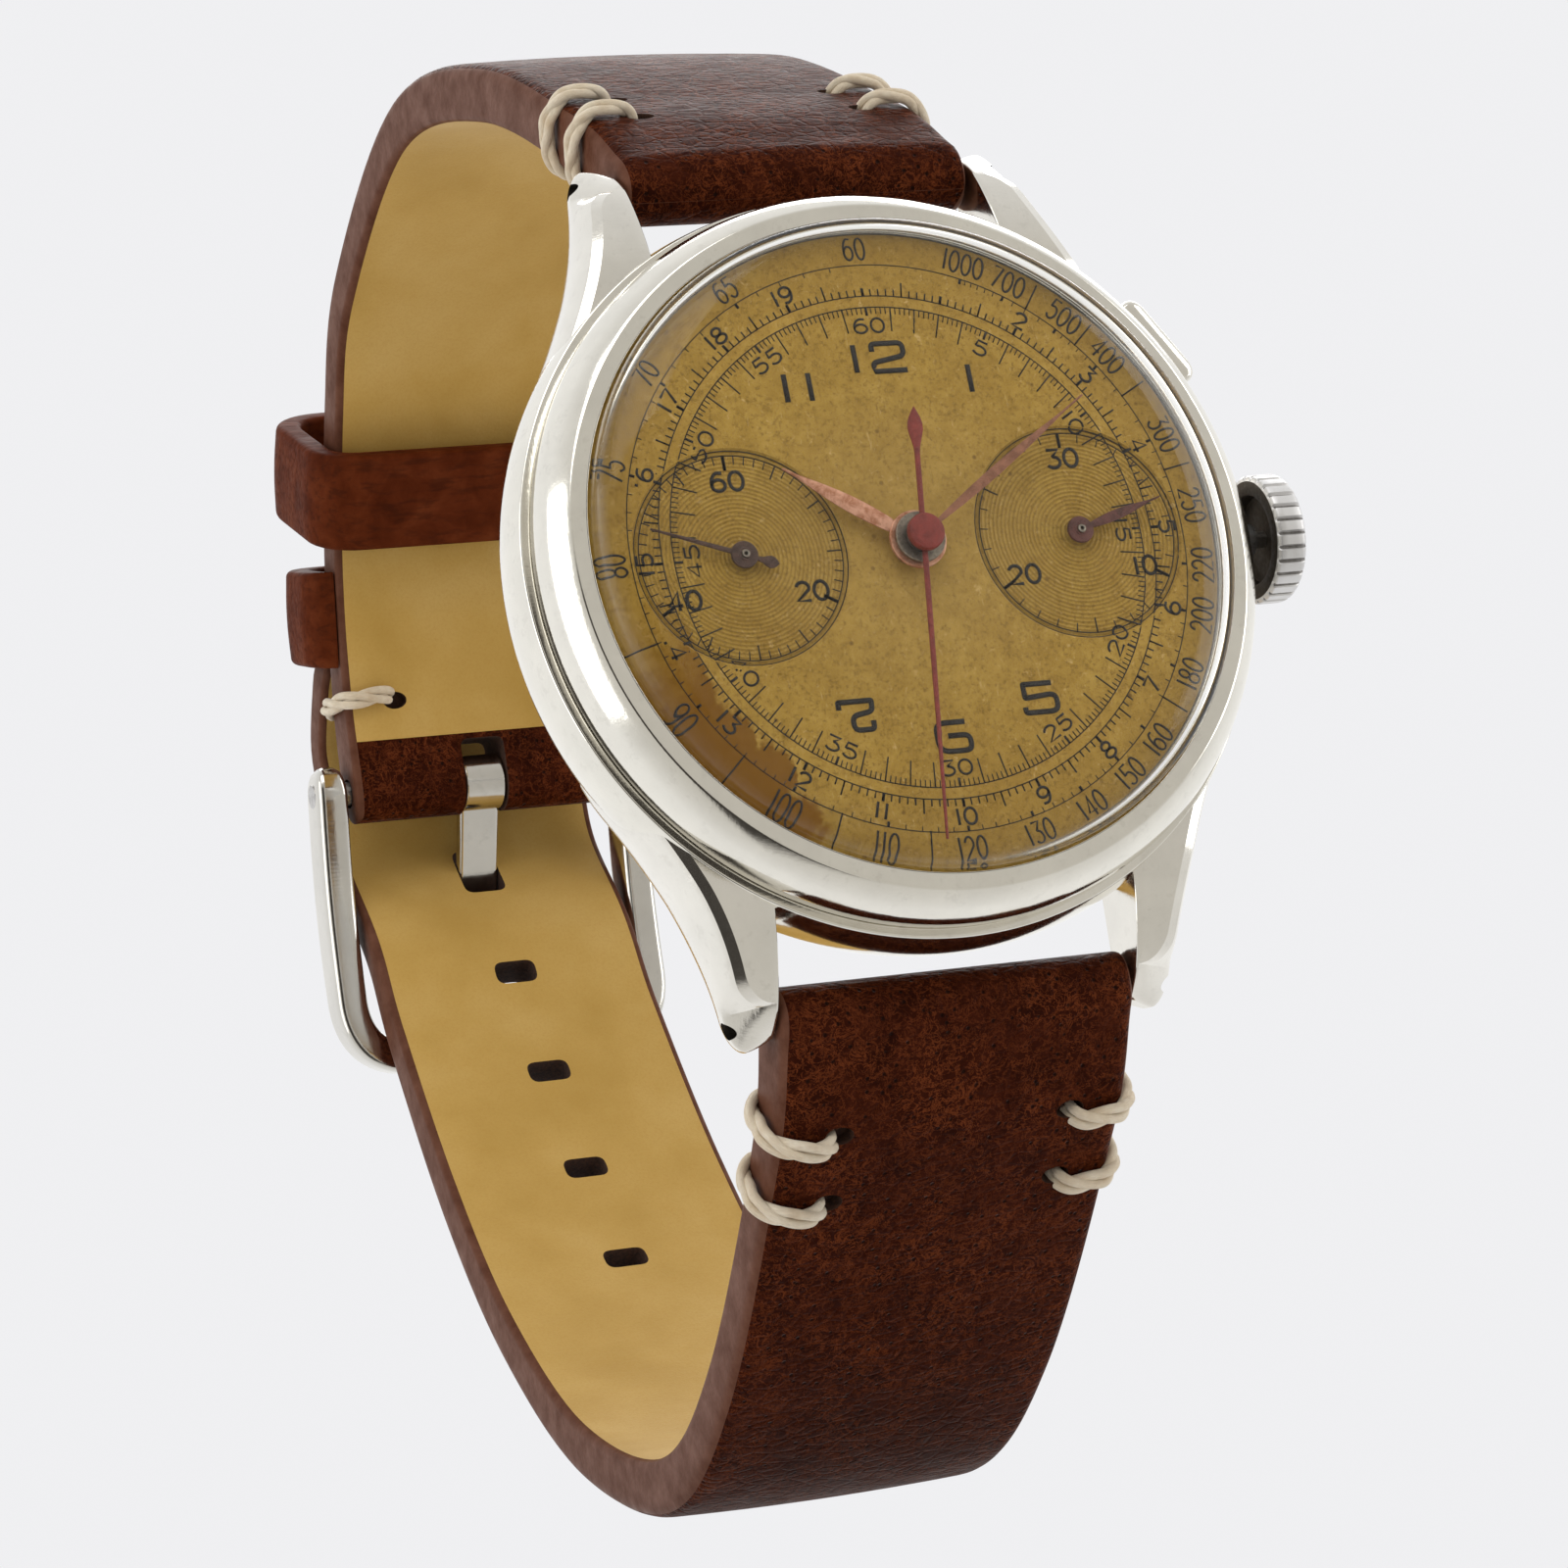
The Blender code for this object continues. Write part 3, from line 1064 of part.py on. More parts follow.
def make_escapement(pallet_at, escape_at, finishes):
    """The pallet fork, the balance and its spiral hairspring."""
    toward = BALANCE_AT - pallet_at
    aim = math.atan2(toward.y, toward.x)
    fork = capsule((0, 0), (2.2 * MM, 0), 0.25 * MM, 4)
    arms = capsule((0, -1.3 * MM), (0, 1.3 * MM), 0.3 * MM, 4)
    lever = flat("pallet_fork", [fork], 5.05 * MM, 5.3 * MM, finishes["grey_steel"], pallet_at, aim)
    combine(lever, flat("pallet_arms", [arms], 5.0 * MM, 5.25 * MM, None, pallet_at, aim), "UNION")
    combine(lever, cylinder("pallet_staff", ARBOR_RADIUS, BRIDGE_TOP + FIT, PLATE_BOTTOM - FIT, at=pallet_at),
            "UNION")
    rim = [circle(BALANCE_RADIUS, 32)]
    for quarter in range(2):
        first = quarter * math.pi
        window = [(math.cos(a) * (BALANCE_RADIUS - 0.6 * MM), math.sin(a) * (BALANCE_RADIUS - 0.6 * MM))
                  for a in [first + math.radians(14 + 152 * i / 10) for i in range(11)]]
        rim.append(window[::-1])
    balance = flat("balance_wheel", rim, 3.0 * MM, 3.4 * MM, finishes["brass"], BALANCE_AT)
    combine(balance, cylinder("balance_staff", ARBOR_RADIUS, COCK_TOP + FIT, PLATE_BOTTOM - FIT, at=BALANCE_AT),
            "UNION")
    coil = []
    turns = 5
    per_turn = 8
    for i in range(turns * per_turn + 1):
        a = math.tau * i / per_turn
        r = 0.55 * MM + 0.4 * MM * i / per_turn
        coil.append((BALANCE_AT.x + r * math.cos(a), BALANCE_AT.y + r * math.sin(a), 2.72 * MM))
    spring = thread("hairspring", coil, 0.06 * MM, finishes["grey_steel"])
    return spring


def make_crown(finishes):
    """The fluted crown, its stem, its tube in the case and the setting lever."""
    radius = CROWN_DIAMETER / 2
    inner = CROWN_INNER_X
    rings = []
    count = 2 * CROWN_FLUTES
    for along, size, flute in ((0, 0.93, 0), (0.08, 1.0, 1), (0.78, 1.0, 1), (0.9, 0.9, 0), (0.97, 0.6, 0)):
        ring = []
        for i in range(count):
            a = math.tau * i / count
            r = radius * size - CROWN_FLUTE_DEPTH * flute * (i % 2)
            ring.append((inner + along * CROWN_LENGTH, r * math.cos(a), CROWN_HEIGHT + r * math.sin(a)))
        rings.append(ring)
    crown = loft("crown", rings, finishes["grey_steel"])
    recess_end = inner + 0.4 * CROWN_LENGTH
    stem_end = inner + 0.7 * CROWN_LENGTH
    axis = CROWN_HEIGHT
    cut(crown, rod("crown_recess", 0.7 * radius, (inner - 1 * MM, 0, axis), (recess_end, 0, axis)),
        rod("crown_bore", STEM_RADIUS + FIT, (inner, 0, axis), (stem_end + FIT, 0, axis)))
    rod("winding_stem", STEM_RADIUS, (CALIBRE_RADIUS - 4.2 * MM, 0, axis), (stem_end, 0, axis),
        finishes["grey_steel"])
    tube_end = CASE_RADIUS + 0.35 * MM
    tube = rod("crown_tube", TUBE_RADIUS, (BORE_RADIUS + FIT, 0, axis), (tube_end, 0, axis), finishes["grey_steel"])
    cut(tube, rod("tube_bore", STEM_RADIUS + FIT, (BORE_RADIUS - 1 * MM, 0, axis), (tube_end + 1 * MM, 0, axis)))
    lever_low = axis + STEM_RADIUS + FIT
    lever = [capsule((-0.2 * MM, -2.2 * MM), (0, 0.4 * MM), 0.7 * MM, 5)]
    flat("setting_lever", loops=lever, low=lever_low, high=PLATE_BOTTOM - FIT, finish=finishes["grey_steel"],
         at=(CALIBRE_RADIUS - 3.2 * MM, 0))


def make_pusher(finish):
    """The flat pusher: a rounded head in its pocket, on a stem that reaches into the movement."""
    way = pusher_direction()
    inner = CASE_RADIUS - 0.45 * MM
    outer = CASE_RADIUS + PUSHER_PROUD
    at = way * (inner + outer) / 2
    head = block("pusher", (outer - inner, PUSHER_WIDTH, PUSHER_THICKNESS), (at.x, at.y, PUSHER_HEIGHT), finish,
                 turn=math.radians(90 - PUSHER_ANGLE))
    ease = head.modifiers.new("ease", "BEVEL")
    ease.width = 0.35 * MM
    ease.segments = 2
    lift = Vector((0, 0, PUSHER_HEIGHT))
    stem = rod("pusher_stem", STEM_RADIUS, way * (CALIBRE_RADIUS - 2.4 * MM) + lift,
               way * (inner + 0.5 * MM) + lift, steps=12)
    return combine(head, stem, "UNION")


def make_spring_bars(finish):
    """A hollow bar with a spring-loaded pin at each end, for each pair of lugs."""
    half = STRAP_WIDTH / 2 - FIT
    pin_inner = half - BAR_PIN_LENGTH + BAR_PIN_SHOW
    for up, name in ((1, "upper"), (-1, "lower")):
        y = up * BAR_Y
        bar = rod("spring_bar_" + name, BAR_RADIUS, (-half, y, BAR_HEIGHT), (half, y, BAR_HEIGHT), finish)
        for across, side in ((-1, "left"), (1, "right")):
            floor = pin_inner - BAR_PIN_TRAVEL - 2 * FIT
            cut(bar, rod("pin_bore", BAR_PIN_RADIUS + FIT, (across * floor, y, BAR_HEIGHT),
                         (across * 2 * half, y, BAR_HEIGHT)))
            rod("spring_bar_pin_%s_%s" % (name, side), BAR_PIN_RADIUS, (across * pin_inner, y, BAR_HEIGHT),
                (across * (half + BAR_PIN_SHOW), y, BAR_HEIGHT), finish, 12)


def build():
    """The whole watch."""
    start_scene()
    finishes = make_materials()
    make_mid_case(finishes["steel"])
    make_head_shells(finishes)
    make_dial(finishes["dial"])
    make_hands(finishes)
    make_movement(finishes)
    make_crown(finishes)
    make_pusher(finishes["steel"])
    make_spring_bars(finishes["grey_steel"])
    short, long = make_lines()
    tongue_at = long_distance_near(long, short.points[-1], TONGUE_REACH)
    make_short_strap(short, finishes["leather"])
    make_long_strap(long, tongue_at, finishes["leather"])
    make_stitches(short, long, finishes["thread"])
    make_free_keeper(short, finishes["leather"])
    make_fixed_keeper(short, finishes["leather"])
    make_buckle(short, long, tongue_at, finishes["steel"])


build()
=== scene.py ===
"""The finished look of a two-register chronograph wristwatch on a leather strap."""

import bpy
import numpy as np
from mathutils import Matrix, Vector


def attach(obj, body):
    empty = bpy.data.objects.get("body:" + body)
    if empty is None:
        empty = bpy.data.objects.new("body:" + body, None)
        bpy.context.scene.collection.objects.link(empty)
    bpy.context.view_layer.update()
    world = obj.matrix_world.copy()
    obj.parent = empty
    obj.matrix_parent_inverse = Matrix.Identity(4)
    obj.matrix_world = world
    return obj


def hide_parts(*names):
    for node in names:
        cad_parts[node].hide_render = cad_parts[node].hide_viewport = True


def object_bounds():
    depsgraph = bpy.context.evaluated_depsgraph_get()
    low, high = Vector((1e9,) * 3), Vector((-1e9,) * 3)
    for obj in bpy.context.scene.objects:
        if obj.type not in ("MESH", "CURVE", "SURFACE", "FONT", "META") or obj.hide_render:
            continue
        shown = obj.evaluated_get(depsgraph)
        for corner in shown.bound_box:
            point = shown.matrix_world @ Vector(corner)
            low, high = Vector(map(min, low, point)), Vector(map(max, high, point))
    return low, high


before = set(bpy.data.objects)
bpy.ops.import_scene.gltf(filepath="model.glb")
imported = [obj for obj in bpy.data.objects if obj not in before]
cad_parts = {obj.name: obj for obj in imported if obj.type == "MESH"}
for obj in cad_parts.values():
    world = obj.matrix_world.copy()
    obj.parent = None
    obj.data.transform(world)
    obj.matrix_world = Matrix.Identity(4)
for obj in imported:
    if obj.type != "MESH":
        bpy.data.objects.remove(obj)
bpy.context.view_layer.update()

MM = 0.001
TURN = 2 * np.pi
# How far behind the case back the floor's middle lies, in metres
FLOOR_MIDDLE = 0.02
# Clearance between pieces that fit in each other, in mm
FIT = 0.08

# Case, in mm: x to 3 o'clock, y to 12 o'clock, z out of the dial from the back's outer face
CASE_RADIUS = 19.0
CASE_BOTTOM = 1.3
CASE_TOP = 5.7
COLLAR_RADIUS = 17.27
COLLAR_TOP = 7.85
BORE_RADIUS = 16.75
LIP_RADIUS = 16.12
BEZEL_RADIUS = 18.0
BEZEL_TOP = 8.75
BEZEL_FLAT = 0.8
UNDER_LIP = BEZEL_TOP - 0.3
CRYSTAL_RADIUS = 16.04
CRYSTAL_APEX = 11.1
BACK_THICKNESS = 1.2
BACK_FLAT_RADIUS = 13.5
LUG_INNER = 9.15
LUG_TIP = 22.0
LUG_TIP_WIDTH = 2.2
LUG_ROOT = 8.5
LUG_DROOP = 3.0
LUG_HOLE_RADIUS = 0.42
BAR_Y = 20.9
BAR_HEIGHT = 1.9

# Dial and hands
DIAL_RADIUS = 16.59
DIAL_TOP = 7.9
DIAL_THICKNESS = 0.4
REGISTER_OFFSET = 8.55
REGISTER_RADIUS = 5.2
REGISTER_DEPTH = 0.12
REGISTER_BEVEL = 0.16
SECONDS_TRACK = 11.84
DISTANCE_TRACK = 12.41
SPEED_TRACK = 13.99
SPEED_AT_FULL_TURN = 60
FIGURE_STROKE = 0.11
INK_THICKNESS = 0.016
HOUR_LEVEL = 8.5
MINUTE_LEVEL = 8.82
CHRONO_LEVEL = 9.3
REGISTER_HAND_LEVEL = 8.16
HOUR_AT_REST = 303.0
MINUTE_AT_REST = 56.4
CHRONO_AT_REST = 187.0
SMALL_SECONDS_AT_REST = 290.0
COUNTER_AT_REST = 73.0

# Crown and pusher
CROWN_RADIUS = 3.15
CROWN_INNER = 19.35
CROWN_HEIGHT = 4.7
CROWN_FLUTES = 28
FLUTE_DEPTH = 0.16
PUSHER_ANGLE = 57.6
PUSHER_WIDTH = 5.0
PUSHER_THICKNESS = 2.2
PUSHER_OUTER = 20.05
PUSHER_HEIGHT = 4.5
PUSHER_POCKET_DEPTH = 1.55
STEM_TUBE_RADIUS = 1.33

# Strap, keepers and buckle
STRAP_WIDTH = 18.0
STRAP_END_WIDTH = 16.0
STRAP_THICKNESS = 3.0
STRAP_FOLD_THICKNESS = 3.6
TAIL_THICKNESS = 2.4
TAIL_TIP_WIDTH = 6.0
TAIL_POINT = 9.0
STRAP_CROWN = 0.16
FOLD_SHOWS = 2.6
BUCKLE_FOLD_SHOWS = 2.9
RIGHT_THROUGH = (-4, 4)
SEARCH_STEP = 0.26
LOOP_DEPTH = 61.2
LOOP_RISE = 17.1
LAYER_GAP = 0.35
LAYER_OFFSET = 3.05
FOLD_SWELL = 9.0
NOSE_STEPS = 9
HOLE_SPACING = 7.4
TONGUE_HOLE_FROM_BAR = 6.6
STITCH_START = 5.0
STITCH_SPACING = 3.8
BUCKLE_STITCH = 5.2
STITCH_INSET = 3.0
STRAND_RADIUS = 0.25
THREAD_LIFT = 0.4
THREAD_PITCH = 6.5
KEEPER_WIDTH = 5.6
KEEPER_WALL = 1.6
KEEPER_SLACK = 1.25
FREE_KEEPER_BACK = 18.0
FREE_KEEPER_ROOM = 4.7
FIXED_KEEPER_BACK = 10.3
FIXED_KEEPER_ROOM = 3.4
BUCKLE_BAR_RADIUS = 0.7
BUCKLE_ARM_WIDTH = 1.9
BUCKLE_ARM_THICKNESS = 2.8
BUCKLE_LENGTH = 14.4
TONGUE_WIDTH = 2.4
TONGUE_THICKNESS = 0.8
# The straps' middle lines in shares of the loop's depth and rise, and the tail's in mm back from the
# short strap's end and shares of the layers' offset
SHORT_ROUTE = ((0, 0), (0.078, 0.263), (0.276, 0.731), (0.513, 1.0), (0.755, 0.789), (0.856, 0.485),
               (0.935, 0.064), (0.982, -0.374), (1.0, -0.72))
LONG_ROUTE = ((0, 0), (0.069, 0.298), (0.268, 0.819), (0.44, 1.006), (0.644, 0.778), (0.799, 0.327),
              (0.905, -0.199), (0.990, -0.836), (1.021, -1.175))
TAIL_ROUTE = ((-4.2, 1.31), (0, 1.64), (3.5, 1.85), (7.5, 1.16), (10.5, 1.03), (14.5, 1.0))


def to_frame(points):
    """Watch axes in mm to the frame in metres: (x, y, z) becomes (x, -z, y) / 1000."""
    points = np.asarray(points, float)
    return np.stack((points[..., 0], -points[..., 2], points[..., 1]), axis=-1) * MM


def placed(name, data):
    """A new object in the scene, at the origin."""
    thing = bpy.data.objects.new(name, data)
    bpy.context.scene.collection.objects.link(thing)
    return thing


class Skin:
    """Closed patches gathered into one piece, each turned so that its faces point out."""

    def __init__(self):
        self.points = []
        self.faces = []
        self.slots = []
        self.maps = []
        self.count = 0

    def add(self, grid, along=False, slots=0, lie=None):
        """Quads over a grid of points (rows, columns, xyz).

        Columns close on themselves, and so do rows when along is true; open row ends are closed by a
        fan about their middle. The sign of the sum of p0 . (p1 x p2) over the triangles tells which
        way the patch faces. lie is a pattern map with the seam repeated.
        """
        grid = np.asarray(grid, float)
        rows, columns = grid.shape[:2]
        index = np.arange(rows * columns).reshape(rows, columns)
        index = np.concatenate((index, index[:, :1]), axis=1)
        if along:
            index = np.concatenate((index, index[:1]), axis=0)
        quads = np.stack((index[:-1, :-1], index[:-1, 1:], index[1:, 1:], index[1:, :-1]), axis=-1)
        slot_grid = np.broadcast_to(np.asarray(slots), quads.shape[:2])
        quads = quads.reshape(-1, 4)
        lie = np.zeros(index.shape + (2,)) if lie is None else lie
        corners = np.stack((lie[:-1, :-1], lie[:-1, 1:], lie[1:, 1:], lie[1:, :-1]), axis=2).reshape(-1, 4, 2)
        points = grid.reshape(-1, 3)
        fans = np.zeros((0, 3), int)
        fan_slots = np.zeros(0, int)
        if not along:
            points = np.concatenate((points, grid[0].mean(0)[None], grid[-1].mean(0)[None]))
            first, last = len(points) - 2, len(points) - 1
            low = np.stack((index[0, 1:], index[0, :-1], np.full(index.shape[1] - 1, first)), axis=-1)
            high = np.stack((index[-1, :-1], index[-1, 1:], np.full(index.shape[1] - 1, last)), axis=-1)
            fans = np.concatenate((low, high))
            fan_slots = np.concatenate((slot_grid[0], slot_grid[-1]))
        triangles = np.concatenate((quads[:, (0, 1, 2)], quads[:, (0, 2, 3)], fans))
        a, b, c = points[triangles].transpose(1, 0, 2)
        if np.sum(a * np.cross(b, c)) < 0:
            quads = quads[:, ::-1]
            corners = corners[:, ::-1]
            fans = fans[:, ::-1]
        self.points.append(points)
        self.faces += (quads + self.count).tolist() + (fans + self.count).tolist()
        self.slots.append(np.concatenate((slot_grid.reshape(-1), fan_slots)))
        self.maps += [corners.reshape(-1, 2), np.zeros((3 * len(fans), 2))]
        self.count += len(points)
        return self

    def mesh(self, name):
        """The gathered patches as one mesh in the frame's axes, smooth, with its pattern map."""
        mesh = bpy.data.meshes.new(name)
        mesh.from_pydata(to_frame(np.concatenate(self.points)), [], self.faces)
        mesh.polygons.foreach_set("material_index", np.concatenate(self.slots).astype(np.int32))
        mesh.polygons.foreach_set("use_smooth", np.ones(len(mesh.polygons), bool))
        lie = mesh.uv_layers.new(name="lie")
        lie.uv.foreach_set("vector", np.concatenate(self.maps).ravel().astype(np.float32))
        mesh.update()
        return mesh

    def piece(self, name, body, finishes, nodes=(), slot=None, crisp=None, cutters=None):
        """The finished piece, less any cutters, riding on a body and standing for its CAD nodes."""
        mesh = self.mesh(name)
        for finish in finishes:
            mesh.materials.append(finish)
        thing = placed(name, mesh)
        if cutters is not None:
            carve(thing, cutters)
        if crisp is not None:
            thing.data.set_sharp_from_angle(angle=np.radians(crisp))
        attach(thing, body)
        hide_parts(*nodes)
        return thing


def carve(thing, cutters):
    """The thing less the volume of the cutters' patches."""
    tool = placed("cutter", cutters.mesh("cutter"))
    modifier = thing.modifiers.new("carve", "BOOLEAN")
    modifier.operation = "DIFFERENCE"
    modifier.solver = "EXACT"
    modifier.object = tool
    bpy.context.view_layer.update()
    carved = bpy.data.meshes.new_from_object(thing.evaluated_get(bpy.context.evaluated_depsgraph_get()))
    thing.modifiers.clear()
    whole = thing.data
    thing.data = carved
    bpy.data.meshes.remove(whole)
    spent = tool.data
    bpy.data.objects.remove(tool)
    bpy.data.meshes.remove(spent)


def eased(corners, reach, closed=True, steps=6):
    """A line through corners, each rounded by the parabola (1-s)^2 a + 2s(1-s) c + s^2 b.

    a and b lie at the corner's reach along its two sides, and one more point a little further out on
    each side keeps the flats flat. A reach of zero leaves the corner as one point.
    """
    corners = np.asarray(corners, float)
    reach = np.broadcast_to(np.asarray(reach, float), len(corners)).copy()
    if not closed:
        reach[[0, -1]] = 0
    back = np.roll(corners, 1, axis=0) - corners
    ahead = np.roll(corners, -1, axis=0) - corners
    back_length = np.linalg.norm(back, axis=1)
    ahead_length = np.linalg.norm(ahead, axis=1)
    reach = np.minimum(reach, 0.4 * np.minimum(back_length, ahead_length))
    back = back / back_length[:, None] * reach[:, None]
    ahead = ahead / ahead_length[:, None] * reach[:, None]
    a = corners + back
    b = corners + ahead
    s = np.linspace(0, 1, steps)[None, :, None]
    arc = (1 - s) ** 2 * a[:, None] + 2 * s * (1 - s) * corners[:, None] + s ** 2 * b[:, None]
    arc = np.concatenate(((corners + 1.2 * back)[:, None], arc, (corners + 1.2 * ahead)[:, None]), axis=1)
    keep = np.broadcast_to((reach > 0)[:, None], arc.shape[:2]).copy()
    keep[:, 0] = True
    return arc[keep]


def box(x0, x1, y0, y1):
    """The four corners of a box, from its first side along x."""
    return np.array(((x0, y0), (x1, y0), (x1, y1), (x0, y1)))


def arch(half, low, high):
    """The four corners of an arch: up one side, over and down the other."""
    return np.array(((half, low), (half, high), (-half, high), (-half, low)))


def round_angles(count):
    """Angles spaced evenly round one turn."""
    return TURN * np.arange(count) / count


def bowed(a, b, bulge, count):
    """Points from a to b on a parabola standing off the straight line by 4 bulge length t (1 - t)."""
    a = np.asarray(a, float)
    run = np.asarray(b, float) - a
    t = np.linspace(0, 1, count)[:, None]
    return a + run * t + np.array((-run[1], run[0])) * bulge * 4 * t * (1 - t)


def smooth_curve(points, per_span):
    """Cubic spans through points, each point's slope half the difference of those either side of it.

    The two ends are padded by reflection.
    """
    p = np.asarray(points, float)
    p = np.concatenate((2 * p[:1] - p[1:2], p, 2 * p[-1:] - p[-2:-1]))
    t = (np.arange(per_span) / per_span)[None, :, None]
    a, b, c, d = p[:-3, None], p[1:-2, None], p[2:-1, None], p[3:, None]
    bend = (2 * a - 5 * b + 4 * c - d) * t ** 2 + (3 * b - a - 3 * c + d) * t ** 3
    curve = 0.5 * (2 * b + (c - a) * t + bend)
    return np.concatenate((curve.reshape(-1, p.shape[1]), p[-2:-1]))


def evenly(points, count):
    """The same line with its points spaced evenly along its length."""
    reach = np.concatenate(([0], np.cumsum(np.linalg.norm(np.diff(points, axis=0), axis=1))))
    places = np.linspace(0, reach[-1], count)
    return np.stack([np.interp(places, reach, column) for column in points.T], axis=-1)


def steps_from_ends(points):
    """How many steps each point lies from the nearer end of its line."""
    steps = np.arange(len(points))
    return np.minimum(steps, steps[::-1])


def unit(vectors):
    """Each vector divided by its length."""
    return vectors / np.linalg.norm(vectors, axis=-1, keepdims=True)


def heading(points):
    """The way forward at each point of a line, from the points either side of it."""
    return unit(np.gradient(points, axis=0))


def quarter_turn(vectors):
    """Each vector (a, b) turned to (-b, a)."""
    return np.stack((-vectors[..., 1], vectors[..., 0]), axis=-1)


def lathe(profile, steps, middle=(0.0, 0.0)):
    """A profile (radius, height) carried round the dial's axis: (r cos a, r sin a, z)."""
    profile = np.asarray(profile, float)
    angle = round_angles(steps)
    radius = profile[:, :1]
    height = np.broadcast_to(profile[:, 1:], (len(profile), steps))
    return np.stack((middle[0] + radius * np.cos(angle), middle[1] + radius * np.sin(angle), height), axis=-1)


def cross_lathe(profile, steps, middle):
    """A profile (radius, place along x) carried round a line across the watch at (y, z)."""
    return np.roll(lathe(profile, steps, middle), 1, axis=-1)


def swung(points, degrees, middle=(0.0, 0.0)):
    """Points turned clockwise about the dial's axis as seen from the front, then moved to a middle."""
    points = np.asarray(points, float)
    a = -np.radians(degrees)
    x, y = points[..., 0], points[..., 1]
    turned = points.copy()
    turned[..., 0] = middle[0] + x * np.cos(a) - y * np.sin(a)
    turned[..., 1] = middle[1] + x * np.sin(a) + y * np.cos(a)
    return turned


class Patterns:
    """Nodes of one tree: most methods add a node and hand back its output."""

    def __init__(self, tree):
        self.tree = tree

    def join(self, value, socket):
        """A pattern linked to a socket, or a plain value set on it."""
        if isinstance(value, bpy.types.NodeSocket):
            self.tree.links.new(value, socket)
        else:
            socket.default_value = value

    def node(self, kind, inputs, **settings):
        """A new node with its settings and then its inputs, which go by name or number."""
        node = self.tree.nodes.new("ShaderNode" + kind)
        for setting, value in settings.items():
            setattr(node, setting, value)
        for socket, value in inputs.items():
            self.join(value, node.inputs[socket])
        return node

    def ramp(self, factor, *stops):
        """Colours or greys by position from 0 to 1, blended between their stops."""
        node = self.node("ValToRGB", {"Fac": factor})
        elements = node.color_ramp.elements
        while len(elements) < len(stops):
            elements.new(0.5)
        for element, (position, colour) in zip(elements, stops):
            element.position = position
            element.color = ((colour,) * 3 if np.isscalar(colour) else tuple(colour)) + (1.0,)
        return node.outputs["Color"]

    def mix(self, factor, low, high, kind="MIX"):
        """Two colours blended by a factor."""
        low, high = [colour + (1.0,) if isinstance(colour, tuple) else colour for colour in (low, high)]
        return self.node("Mix", {0: factor, 6: low, 7: high}, data_type="RGBA", blend_type=kind).outputs[2]

    def calc(self, operation, a, b=0.0, c=0.0):
        """One sum on numbers or patterns."""
        return self.node("Math", {0: a, 1: b, 2: c}, operation=operation).outputs[0]

    def measure(self, operation, vector, other=(0.0, 0.0, 0.0)):
        """One number from a coordinate vector: its LENGTH, or its DOT_PRODUCT with another."""
        return self.node("VectorMath", {0: vector, 1: other}, operation=operation).outputs["Value"]

    def part(self, vector, axis):
        """One of the three numbers of a coordinate vector."""
        return self.node("SeparateXYZ", {0: vector}).outputs[axis]

    def step(self, value, low, high, start=0.0, end=1.0):
        """A smooth change from start to end while the value goes from low to high."""
        inputs = dict(enumerate((value, low, high, start, end)))
        return self.node("MapRange", inputs, interpolation_type="SMOOTHSTEP").outputs[0]


class Finish(Patterns):
    """A procedural material: a Principled shader and the patterns that feed it."""

    def __init__(self, name, sockets):
        self.material = bpy.data.materials.new(name)
        self.material.use_nodes = True
        super().__init__(self.material.node_tree)
        self.shader = self.tree.nodes["Principled BSDF"]
        for socket, value in sockets.items():
            self.feed(socket, value)
        coordinates = self.node("TexCoord", {})
        self.place = coordinates.outputs["Object"]
        self.lie = coordinates.outputs["UV"]

    def feed(self, socket, value):
        """A pattern or a plain value into one of the shader's sockets."""
        self.join(value, self.shader.inputs[socket])

    def shifted(self, scale=(1, 1, 1), location=(0, 0, 0), turn=(0, 0, 0), source=None):
        """Coordinates stretched by scale, turned and then moved."""
        source = self.place if source is None else source
        inputs = {"Vector": source, "Scale": scale, "Location": location, "Rotation": turn}
        return self.node("Mapping", inputs).outputs["Vector"]

    def noise(self, size, detail=3.0, rough=0.55, warp=0.0, source=None):
        """Cloudy noise with features about size mm across."""
        source = self.place if source is None else source
        inputs = {"Vector": source, "Scale": 1 / (size * MM), "Detail": detail, "Roughness": rough,
                  "Distortion": warp}
        return self.node("TexNoise", inputs).outputs["Fac"]

    def cells(self, size, feature="F1", source=None):
        """Distance to the middle or the edge of cells about size mm across."""
        source = self.place if source is None else source
        inputs = {"Vector": source, "Scale": 1 / (size * MM)}
        return self.node("TexVoronoi", inputs, feature=feature).outputs["Distance"]

    def off_axis(self, x=0.0):
        """Distance from the dial's axis, or from a line beside it that passes through x metres."""
        return self.measure("LENGTH", self.shifted((1.0, 0.0, 1.0), (-x, 0, 0)))

    def relief(self, height, depth, under=None):
        """A bumped normal from a height pattern whose full rise is depth mm, over any normal under it."""
        inputs = {"Distance": depth * MM, "Height": height}
        if under is not None:
            inputs["Normal"] = under
        return self.node("Bump", inputs).outputs["Normal"]


